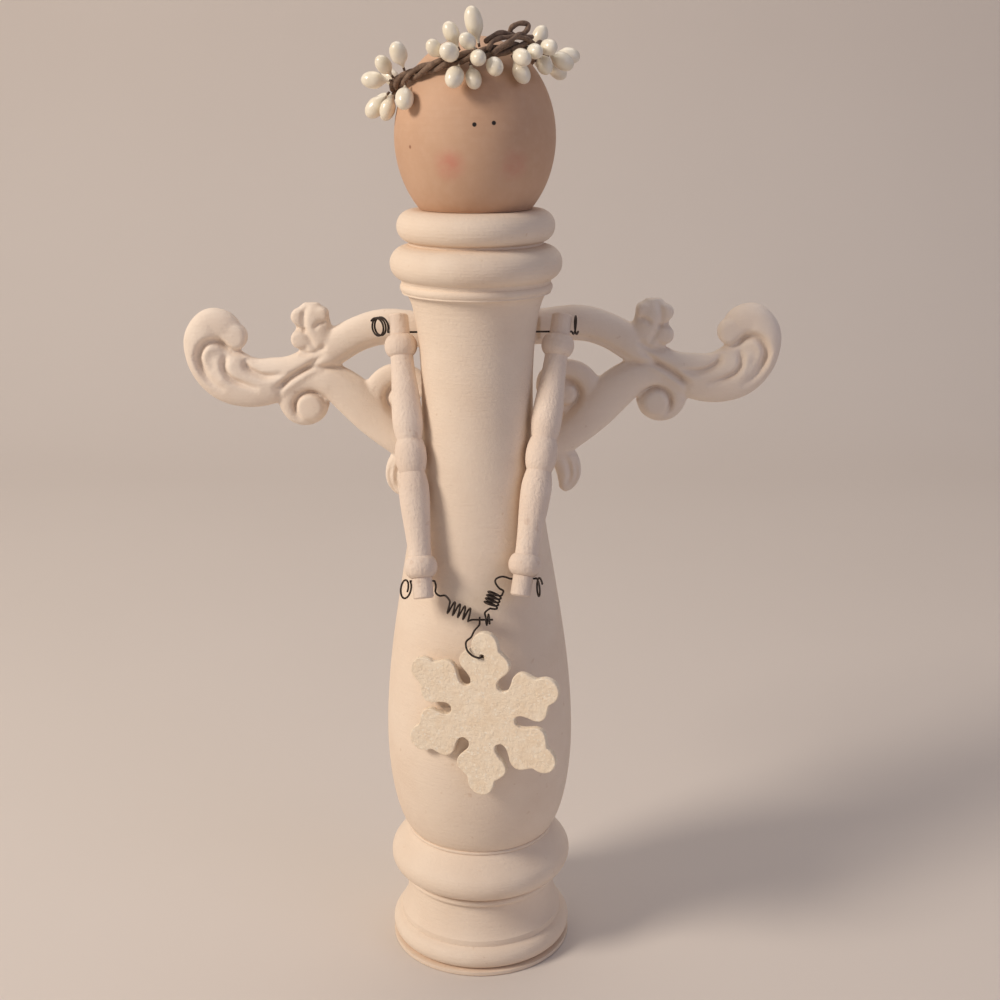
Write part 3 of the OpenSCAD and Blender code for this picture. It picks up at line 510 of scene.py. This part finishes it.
def closed_spline(curve, flat_points):
    spline = curve.splines.new("POLY")
    spline.points.add(len(flat_points) - 1)
    for point, (x, y) in zip(spline.points, flat_points):
        point.co = (x, y, 0, 1)
    spline.use_cyclic_u = True


half_arm = through(HALF_ARM, ARM_STEPS)
one_arm = [(-across, along) for along, across in half_arm[:-1]]
one_arm += [(across, along) for along, across in half_arm[:0:-1]]
rim = []
for k in range(ARM_COUNT):
    a = math.radians(-360 / ARM_COUNT * k)
    rim += [(x * math.cos(a) - y * math.sin(a), x * math.sin(a) + y * math.cos(a)) for x, y in one_arm]
flat = bpy.data.curves.new("flake_flat", "CURVE")
flat.dimensions = "2D"
flat.fill_mode = "BOTH"
flat.extrude = FLAKE_T / 2 - FLAKE_ROUND
flat.bevel_depth = FLAKE_ROUND
flat.bevel_resolution = 2
flat.offset = -FLAKE_ROUND
closed_spline(flat, rim)
hole_x = -HOLE_REACH * math.tan(FLAKE_TURN)
hole_rim_r = HOLE_R + FLAKE_ROUND
hole_rim = [(hole_x + hole_rim_r * math.cos(a), HOLE_REACH + hole_rim_r * math.sin(a))
            for a in np.linspace(0, 2 * math.pi, HOLE_SIDES + 1)[:-1]]
closed_spline(flat, hole_rim)
rough_flake = bpy.data.objects.new("flake_flat", flat)
bpy.context.scene.collection.objects.link(rough_flake)
cut = made_mesh(rough_flake)
sawn = points_of(cut)
flake_faces = [tuple(p.vertices) for p in cut.polygons]
bpy.data.meshes.remove(cut)
# The cut-out is turned about its hole and set upright at the hook's pin
over, up = sawn[:, 0] - hole_x, sawn[:, 1] - HOLE_REACH
across = over * math.cos(FLAKE_TURN) + up * math.sin(FLAKE_TURN)
upward = up * math.cos(FLAKE_TURN) - over * math.sin(FLAKE_TURN)
placed = HOLE + across[:, None] * RIGHTWARD + upward[:, None] * UP - sawn[:, 2:] * BACKWARD
flake = mesh_object("glitter_snowflake", placed, flake_faces, flake_look.material)
facing = Vector(BACKWARD)
rounded = [abs(facing.dot(p.normal)) < FLAT_FACE for p in flake.data.polygons]
flake.data.polygons.foreach_set("use_smooth", rounded)
dress(flake, "snowflake", "flake")

for name, path, body in (("shoulder_wire", shoulder_path, "doll"),
                         ("left_hand_wire", left_path, "left_arm"),
                         ("right_hand_wire", right_path, "right_arm"),
                         ("snowflake_hook", hook_path, "flake_hook")):
    verts, faces = sweep(path, WIRE_R, TUBE_SIDES)
    dress(mesh_object("drawn_" + name, verts, faces, wire_look.material), name, body)

# Wings: rounded strokes merged, then carved with flutes
# A stroke has places outwards and upwards, and its width there, in shares of the wing's reach
REACH = 146.0
SCROLL = [(0.03, 0.16, 0.105), (0.2, 0.168, 0.115), (0.33, 0.18, 0.115), (0.425, 0.155, 0.112),
          (0.52, 0.1, 0.115), (0.61, 0.042, 0.11), (0.69, 0.008, 0.145), (0.775, -0.003, 0.165),
          (0.848, 0.02, 0.18), (0.9, 0.068, 0.165), (0.922, 0.138, 0.142), (0.904, 0.187, 0.108),
          (0.866, 0.184, 0.104), (0.836, 0.162, 0.09)]
C_SCROLL = [(0.035, -0.268, 0.09), (0.15, -0.268, 0.09), (0.235, -0.24, 0.095), (0.31, -0.185, 0.11),
            (0.38, -0.118, 0.13), (0.445, -0.05, 0.135), (0.51, 0, 0.115), (0.58, 0.01, 0.09),
            (0.634, -0.014, 0.08), (0.658, -0.063, 0.066), (0.642, -0.11, 0.05), (0.6, -0.13, 0.036),
            (0.556, -0.112, 0.032), (0.536, -0.073, 0.028)]
INNER = [(0.25, -0.235, 0.07), (0.305, -0.165, 0.075), (0.36, -0.1, 0.08), (0.37, -0.036, 0.078),
         (0.334, 0.012, 0.072), (0.28, 0.026, 0.064), (0.228, 0, 0.06), (0.216, -0.05, 0.05)]
TOP_LEAF = [(0.535, 0.11, 0.11), (0.562, 0.165, 0.115), (0.57, 0.205, 0.11), (0.572, 0.238, 0.088),
            (0.572, 0.26, 0.045)]
LOW_LEAF = [(0.235, -0.235, 0.08), (0.285, -0.272, 0.088), (0.302, -0.32, 0.084), (0.295, -0.36, 0.062),
            (0.28, -0.384, 0.026)]
# Places and radii of the leaf's side lobes
LEAF_LOBES = [(0.611, 0.216, 0.027), (0.61, 0.142, 0.031), (0.54, 0.222, 0.026)]
EYE = np.array([0.587, -0.081]) * REACH
EYE_R = 0.048 * REACH
VOLUTE = np.array([0.596, -0.068]) * REACH
VOLUTE_R = 0.068 * REACH
INNER_EYE = np.array([0.292, -0.056]) * REACH
INNER_EYE_R = 0.034 * REACH
INNER_FLOOR_R = 0.07 * REACH
BULB = np.array([0.828, 0.15]) * REACH
BULB_R = 0.045 * REACH
# The board's thickness at its edge, the rise of its crown, and the places of its back and of the post's seat
EDGE_T, CROWN_T = 4.6, 5.4
BACK_Y = 31.7
SEAT_Y = 24.4
# Each stroke with the share of the crown that it rises to
STROKES = ((SCROLL, 1.0), (C_SCROLL, 0.94), (INNER, 0.75), (TOP_LEAF, 0.9), (LOW_LEAF, 0.8))
# Each round boss: its middle, radius and height
BOSSES = [(EYE, EYE_R, EDGE_T + CROWN_T * 0.62), (VOLUTE, VOLUTE_R, EDGE_T),
          (INNER_EYE, INNER_EYE_R, EDGE_T + CROWN_T * 0.4), (INNER_EYE, INNER_FLOOR_R, EDGE_T * 0.7),
          (BULB, BULB_R, EDGE_T + CROWN_T * 0.72)]
BOSSES += [(np.array([x, z]) * REACH, r * REACH, EDGE_T + CROWN_T * 0.6) for x, z, r in LEAF_LOBES]
STROKE_STEPS = 8
CROWN_STEPS = 13
# A stroke's upright side as a share of the edge, and its greatest rise as a share of its half width
SIDE_SHARE = 0.8
RISE_SHARE = 0.68
BOSS_SIDES = 40
WING_VOXEL = 0.75
# The wing's pad reaches this far from the middle
PAD_REACH = 29
# Each wing's node, side, shift to the right and height
WINGS = (("left_wing", -1, 4.5, 280.0), ("right_wing", 1, 0, 281.6))


def stroke(table, lift):
    """A tapering ribbon with a flat back and a rounded front, which faces -Y."""
    p = through(np.array(table) * REACH, STROKE_STEPS)
    last = len(p) - 1
    verts = []
    arc = np.linspace(0, math.pi, CROWN_STEPS)
    side_y = -EDGE_T * SIDE_SHARE
    for i in range(last + 1):
        w = unit(p[min(i + 1, last)][:2] - p[max(i - 1, 0)][:2])
        n = np.array([-w[1], w[0]])
        half = p[i][2] / 2
        rise = min(CROWN_T, RISE_SHARE * half) * lift
        ring = [(half, 0), (-half, 0)]
        ring += [(-half * math.cos(a), side_y - rise * math.sin(a)) for a in arc]
        verts += [(p[i][0] + n[0] * a, y, p[i][1] + n[1] * a) for a, y in ring]
    count = len(arc) + 2
    faces = [(i * count + k, (i + 1) * count + k,
              (i + 1) * count + (k + 1) % count, i * count + (k + 1) % count)
             for i in range(last) for k in range(count)]
    faces += [tuple(range(count)), tuple(last * count + k for k in range(count - 1, -1, -1))]
    return np.array(verts), faces


def boss(centre, radius, top):
    """A round button with an eased rim."""
    profile = [(AXIS_R, 0), (radius, 0), (radius, top * 0.72), (radius * 0.93, top * 0.86),
               (radius * 0.7, top * 0.97), (AXIS_R, top)]
    v, f = lathe(profile, BOSS_SIDES)
    return np.stack([centre[0] + v[:, 0], -v[:, 2], centre[1] + v[:, 1]], 1), f


board = join([stroke(*row) for row in STROKES] + [boss(*row) for row in BOSSES])
rough = mesh_object("wing_rough", *board, None)
remesh = rough.modifiers.new("merge", "REMESH")
remesh.mode = "VOXEL"
remesh.voxel_size = WING_VOXEL * MM
merged = made_mesh(rough)
points = points_of(merged) / MM
polys = [tuple(p.vertices) for p in merged.polygons]
edges = np.array([tuple(e.vertices) for e in merged.edges])
bpy.data.meshes.remove(merged)


def relax(p, rounds):
    """Move each point half the way to the middle of its neighbours."""
    for _ in range(rounds):
        total = np.zeros_like(p)
        number = np.zeros(len(p))
        for a, b in ((0, 1), (1, 0)):
            np.add.at(total, edges[:, a], p[edges[:, b]])
            np.add.at(number, edges[:, a], 1)
        p = p * 0.5 + 0.5 * total / number[:, None]
    return p


# Flutes fade in and out over this share of their length
FLUTE_FADE = 0.25
# They leave what lies this near to the board's back, and press in full from a span further forward
FLUTE_FROM, FLUTE_SPAN = 2.0, 2.0
FLUTE_STEPS = 14


def carve(p, line, width, depth):
    """Press a flute into the front, along a line in the wing's own plane."""
    path = through(line, FLUTE_STEPS)
    share = np.linspace(0, 1, len(path))
    amount = np.clip(np.minimum(share, 1 - share) / FLUTE_FADE, 0, 1)
    d = np.hypot(p[:, None, 0] - path[None, :, 0], p[:, None, 2] - path[None, :, 1])
    k = d.argmin(1)
    near = d[np.arange(len(p)), k]
    front = np.clip((-p[:, 1] - FLUTE_FROM) / FLUTE_SPAN, 0, 1)
    p[:, 1] += depth * amount[k] * np.exp(-(near / width) ** 2) * front
    return p


def beside(table, share, first, last):
    """A line along a stroke, at a share of its half width to one side."""
    p = through(np.array(table) * REACH, 6)
    way = np.gradient(p[:, :2], axis=0)
    way /= np.linalg.norm(way, axis=1)[:, None]
    line = p[:, :2] + np.stack([-way[:, 1], way[:, 0]], 1) * p[:, 2:3] / 2 * share
    n = len(line)
    return line[int(first * n):int(last * n)][::3]


# Each flute's line, its width and its depth
eye_groove = [EYE + EYE_R * np.array([math.cos(a), math.sin(a)])
              for a in np.radians(np.linspace(170, -60, 14))]
FLUTES = (
    ([(115.0, 13.6), (122.0, 16.0), (127.2, 19.4), (132.4, 19.8), (136.2, 16.4), (137.4, 10.6),
      (133.6, 2.4), (125.5, -4.0)], 1.8, 4.0),
    ([(120.5, 11.0), (126.0, 13.6), (131.0, 12.6), (131.4, 7.4), (127.0, 2.4)], 4.0, 1.6),
    ([(124.2, 14.0), (125.8, 8.0), (121.8, 1.8), (109.0, -3.1)], 1.5, 3.2),
    ([(115.4, 12.0), (115.0, 8.0), (111.4, 5.2), (105.4, 3.4), (96.0, 4.6)], 1.5, 3.0),
    ([(76.0, 15.5), (86.0, 7.6), (95.0, 1.5), (103.0, -3.5)], 1.5, 2.4),
    (beside(SCROLL, -0.72, 0.12, 0.36), 1.3, 1.2),
    (beside(C_SCROLL, 0.86, 0.4, 0.72), 1.4, 1.8),
    (eye_groove, 1.2, 2.6),
    (beside(INNER, 0.9, 0.1, 0.95), 1.4, 2.2),
    ([(80.5, 15.5), (83.6, 20.0), (86.4, 26.0), (86.6, 33.0), (84.0, 37.5)], 1.2, 1.6),
    ([(85.6, 24.4), (88.6, 25.8), (93.0, 26.4)], 1.0, 2.2),
    ([(76.0, 29.0), (79.4, 28.6), (82.4, 26.0)], 1.0, 1.5),
    ([(76.0, 19.0), (82.0, 14.5), (90.0, 14.0)], 1.3, 2.0),
    (beside(LOW_LEAF, 0.1, 0.2, 0.95), 1.3, 1.8),
    (beside(LOW_LEAF, 0.6, 0.3, 0.95), 1.1, 1.2),
)
points = relax(points, 3)
for line, width, depth in FLUTES:
    points = carve(points, line, width, depth)
points = relax(points, 1)
# The pads lie flat on the post's seat
pad = (points[:, 0] < PAD_REACH) & (points[:, 1] < SEAT_Y - BACK_Y)
points[pad, 1] = SEAT_Y - BACK_Y
for name, side, shift, z in WINGS:
    placed = np.stack([side * points[:, 0] + shift, points[:, 1] + BACK_Y, points[:, 2] + z], 1)
    order = polys if side == 1 else [tuple(reversed(f)) for f in polys]
    dress(mesh_object("carved_" + name, placed, order, wing_paint), name, "doll")

# Wreath: strands twisted along an oval that lies tilted on the head
TILT, PITCH_BACK = math.radians(13), math.radians(8)
RING_X = np.array([math.cos(TILT), 0, math.sin(TILT)])
RING_Y = np.array([0, math.cos(PITCH_BACK), -math.sin(PITCH_BACK)])
RING_UP = unit(np.cross(RING_X, RING_Y))
RING_C = np.array([-2.0, 3.0, 423.6])
RX, RY = 33.8, 31.0
STRAND_OFF, STRAND_R, TWISTS = 1.56, 1.2, 7
STRANDS = ("vine_strand_a", "vine_strand_b", "vine_strand_c")
# The strands run between these angles round the oval, in degrees
VINE_FROM, VINE_TO, VINE_STEPS = 97, 443, 260
# Routes of loose bark: an angle round the oval, and millimetres outwards and upwards from it
LOOP_ROUTE = [(284, 0, 4.4), (290, 1.4, 5.8), (297, 1.2, 6.6), (304, 0, 5.4), (311, 0.2, 4.6), (318, 1.4, 6),
              (321, 1.6, 8.6), (315, 0.4, 9.6), (309, -1.4, 8.6), (309, -2.8, 6.4), (318, -2.4, 4.6),
              (330, -1, 4.2)]
KNOT_ROUTES = {
    "bark_knot_upper": [(284, 2.6, 0.6), (287, 3, 3), (293, 2.4, 4.2), (300, 2.6, 4), (307, 2.4, 3.6),
                        (314, 2.8, 2.4), (321, 2.2, 0.8)],
    "bark_knot_lower": [(286, 3.4, -1.6), (291, 4.2, 0.4), (297, 4.4, 1.6), (304, 3.4, 3.4), (311, 1.2, 5),
                        (318, -0.8, 5), (326, -2, 3)],
}
LOOP_R = 1.1
KNOT_R = 1.05


def ring_point(a):
    a = math.radians(a)
    return RING_C + RX * math.cos(a) * RING_X + RY * math.sin(a) * RING_Y


def ring_frame(a):
    """The outward direction, and the direction along the oval, at an angle round it."""
    a = math.radians(a)
    along = unit(-RX * math.sin(a) * RING_X + RY * math.cos(a) * RING_Y)
    return np.cross(along, RING_UP), along


def strand_point(i, a):
    b = math.radians(TWISTS * a + 120 * i)
    return ring_point(a) + STRAND_OFF * (math.cos(b) * ring_frame(a)[0] + math.sin(b) * RING_UP)


def loose_bark(route, radius, swell, pace):
    """Vertices and faces of a loose end that swells and thins a little along its route."""
    path = through([ring_point(a) + o * ring_frame(a)[0] + u * RING_UP for a, o, u in route], BEND_STEPS)
    return sweep(path, radius * (1 + swell * np.sin(np.arange(len(path)) * pace)), TUBE_SIDES)


turn = np.linspace(VINE_FROM, VINE_TO, VINE_STEPS)
for i, name in enumerate(STRANDS):
    path = [strand_point(i, a) for a in turn]
    wobble = 1 + 0.07 * np.sin(turn * 0.31 + 2 * i) + 0.05 * np.sin(turn * 0.83 + i)
    verts, faces = sweep(path, STRAND_R * wobble, TUBE_SIDES)
    dress(mesh_object("bark_" + name, verts, faces, bark.material), name, "doll")
strands = np.array([strand_point(i, a) for i in range(len(STRANDS))
                    for a in np.arange(VINE_FROM, VINE_TO, 1.0)])

verts, faces = loose_bark(LOOP_ROUTE, LOOP_R, swell=0.08, pace=0.5)
dress(mesh_object("bark_vine_loop", verts, faces, bark.material), "vine_loop", "doll")

# Loose bark ends knotted over the strands beside the loop
for name, route in KNOT_ROUTES.items():
    verts, faces = loose_bark(route, KNOT_R, swell=0.1, pace=0.4)
    knot = mesh_object(name, verts, faces, bark.material)
    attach(knot, "doll")

# Berries: angle round the oval, lift and swing in degrees, size, and a slim one's share of the width
SPRIGS = {
    "berries_left": [(216, 48, 46, 1.05), (198, 40, 46, 0.95), (204, 16, -32, 1.05), (185, -32, -16, 1.12),
                     (195, -56, -24, 0.95), (214, -48, 40, 1.12)],
    "berries_front_left": [(252, 32, 0, 0.9), (263, 8, -8, 1.1), (266, 72, -40, 0.95)],
    "berries_tall": [(279, 72, -8, 1.3, 0.82), (279, 24, -32, 0.9)],
    "berries_front": [(275, -16, 0, 0.95), (265, -40, -24, 1.1), (270, -64, 0, 0.95), (285, -40, -8, 1)],
    "berries_front_right": [(300, -72, 32, 1), (300, -32, 0, 1)],
    "berries_right": [(316, -24, -24, 0.9), (329, -16, -32, 0.95), (330, -56, -46, 0.95),
                      (331, -40, 46, 1.05)],
    "berries_back_right": [(35, 56, -40, 1), (8, -20, 0, 1), (24, -44, 0, 0.95), (40, 4, 10, 1.05)],
    "berries_back": [(58, -34, 0, 1), (68, 30, 0, 1.05), (80, -10, 10, 0.95), (108, 48, 4, 1),
                     (104, -20, 0, 1.05), (120, 10, 0, 1)],
    "berries_back_left": [(136, -30, 0, 1), (148, 44, 0, 1), (158, -12, 0, 0.95), (166, -46, -6, 0.9)],
}
STEM_R, STEM_L, BERRY_L, BERRY_D = 0.55, 1.6, 11.6, 7.0
BERRY_SIDES = 24
BERRY_STEPS = 9
# A berry is widest at this share of its length
WIDEST = 0.6
# Clearance between stem and strand, and the step by which a stem is moved out to it
STEM_FIT = 0.12
STEM_STEP = 0.05
# A direction that no berry points in
ASKEW = [0.3, 0.5, 0.8]


def berry(a, lift, swing, size, slim=1.0):
    """Vertices and faces of a berry on its stem, and for each face whether it is the stem's."""
    out, along = ring_frame(a)
    lift, swing = math.radians(lift), math.radians(swing)
    d = math.cos(lift) * (math.cos(swing) * out + math.sin(swing) * along) + math.sin(lift) * RING_UP
    s = STRAND_OFF + STRAND_R
    while np.linalg.norm(strands - (ring_point(a) + s * d), axis=1).min() < STRAND_R + STEM_R + STEM_FIT:
        s += STEM_STEP
    r, length = size * slim * BERRY_D / 2, size * BERRY_L
    mid = WIDEST * length
    t = np.linspace(0, 1, BERRY_STEPS)
    smooth = t * t * (3 - 2 * t)
    profile = [(AXIS_R, 0), (STEM_R, 0), (STEM_R, STEM_L)]
    profile += [(STEM_R + (r - STEM_R) * math.sin(math.pi / 2 * q), STEM_L + mid * w)
                for q, w in zip(smooth[1:], t[1:])]
    profile += [(max(r * math.cos(q), AXIS_R), STEM_L + mid + (length - mid) * math.sin(q))
                for q in np.linspace(0, math.pi / 2, BERRY_STEPS)[1:]]
    verts, faces = lathe(profile, BERRY_SIDES)
    u = unit(np.cross(d, ASKEW))
    v = np.cross(d, u)
    verts = ring_point(a) + s * d + verts[:, :1] * u + verts[:, 1:2] * v + verts[:, 2:3] * d
    stem = [i < 2 * BERRY_SIDES or i == len(faces) - 2 for i in range(len(faces))]
    return verts, faces, stem


for name, places in SPRIGS.items():
    made = [berry(*q) for q in places]
    obj = mesh_object("glossy_" + name, *join([m[:2] for m in made]), pip.material)
    obj.data.materials.append(bark.material)
    flags = [int(flag) for m in made for flag in m[2]]
    obj.data.polygons.foreach_set("material_index", flags)
    dress(obj, name, "doll")

# Floor and backdrop in one pale sweep, in metres
FLOOR_FRONT, FLOOR_HALF_W, WALL_TOP = -3.0, 4.0, 3.0
BEND_Y, BEND_R = 0.9, 0.5
profile = [(FLOOR_FRONT, 0.0), (BEND_Y, 0.0)]
profile += [(BEND_Y + BEND_R * math.sin(a), BEND_R - BEND_R * math.cos(a))
            for a in np.linspace(0.1, math.pi / 2, 14)]
profile += [(BEND_Y + BEND_R, WALL_TOP)]
floor_mesh = bpy.data.meshes.new("floor")
floor_mesh.from_pydata([(x, y, z) for y, z in profile for x in (-FLOOR_HALF_W, FLOOR_HALF_W)], [],
                       [(2 * i, 2 * i + 1, 2 * i + 3, 2 * i + 2) for i in range(len(profile) - 1)])
floor_mesh.polygons.foreach_set("use_smooth", [True] * len(floor_mesh.polygons))
floor = bpy.data.objects.new("floor", floor_mesh)
bpy.context.scene.collection.objects.link(floor)
ground = Look("floor_paper")
ground_tone = ground.mix(ground.noise(3, 2), (0.66, 0.60, 0.55, 1), (0.69, 0.63, 0.58, 1))
ground.surface(ground_tone, Roughness=0.9)
floor_mesh.materials.append(ground.material)


# Soft studio light from the upper left, in metres and watts
def lamp(name, place, aim, size, power, colour):
    data = bpy.data.lights.new(name, "AREA")
    data.shape = "DISK"
    data.size = size
    data.energy = power
    data.color = colour
    obj = bpy.data.objects.new(name, data)
    obj.location = place
    obj.rotation_euler = (Vector(aim) - Vector(place)).to_track_quat("-Z", "Y").to_euler()
    bpy.context.scene.collection.objects.link(obj)


lamp("key", place=(-1.65, -0.85, 1.45), aim=(0, 0, 0.24), size=0.7, power=38, colour=(1.0, 0.89, 0.77))
lamp("fill", place=(1.5, -1.1, 0.9), aim=(0, 0, 0.22), size=1.4, power=4.6, colour=(0.64, 0.70, 1.0))
lamp("top", place=(0.1, 0.5, 1.9), aim=(0, 0, 0.3), size=1.2, power=7, colour=(1.0, 0.94, 0.88))
world = bpy.data.worlds.new("room")
bpy.context.scene.world = world
world.use_nodes = True
room_nodes, room_links = world.node_tree.nodes, world.node_tree.links
room_light = room_nodes["Background"]
room_light.inputs["Color"].default_value = (0.76, 0.72, 0.78, 1)
room_light.inputs["Strength"].default_value = 0.28
# Past the floor's edge the view, and what mirrors it, shows a plain wall
wall = room_nodes.new("ShaderNodeBackground")
wall.inputs["Color"].default_value = (0.56, 0.50, 0.46, 1)
rays = room_nodes.new("ShaderNodeLightPath")
seen = rays.outputs["Is Camera Ray"]
for kind in ("Is Glossy Ray", "Is Transmission Ray"):
    either = room_nodes.new("ShaderNodeMath")
    either.operation = "MAXIMUM"
    room_links.new(seen, either.inputs[0])
    room_links.new(rays.outputs[kind], either.inputs[1])
    seen = either.outputs[0]
choice = room_nodes.new("ShaderNodeMixShader")
room_links.new(seen, choice.inputs["Fac"])
room_links.new(room_light.outputs["Background"], choice.inputs[1])
room_links.new(wall.outputs["Background"], choice.inputs[2])
room_links.new(choice.outputs["Shader"], room_nodes["World Output"].inputs["Surface"])

# The photograph's viewpoint in metres and degrees, with the lens as a share of the sensor's width
SENSOR_WIDTH = 36
LENS_SHARE = 1.430
CAMERA_PLACE = (0.010384, -0.649, 0.41464)
CAMERA_DOWN = 16.007
CAMERA_ROLL = -0.2
camera_data = bpy.data.cameras.new("camera")
camera_data.sensor_width = SENSOR_WIDTH
camera_data.lens = SENSOR_WIDTH * LENS_SHARE
camera_data.clip_end = 20
camera = bpy.data.objects.new("camera", camera_data)
tipped = Matrix.Rotation(math.radians(90 - CAMERA_DOWN), 4, "X")
rolled = Matrix.Rotation(math.radians(CAMERA_ROLL), 4, "Z")
camera.matrix_world = Matrix.Translation(CAMERA_PLACE) @ (tipped @ rolled)
bpy.context.scene.collection.objects.link(camera)
bpy.context.scene.camera = camera
bpy.context.scene.view_settings.view_transform = "Standard"

bpy.context.view_layer.update()
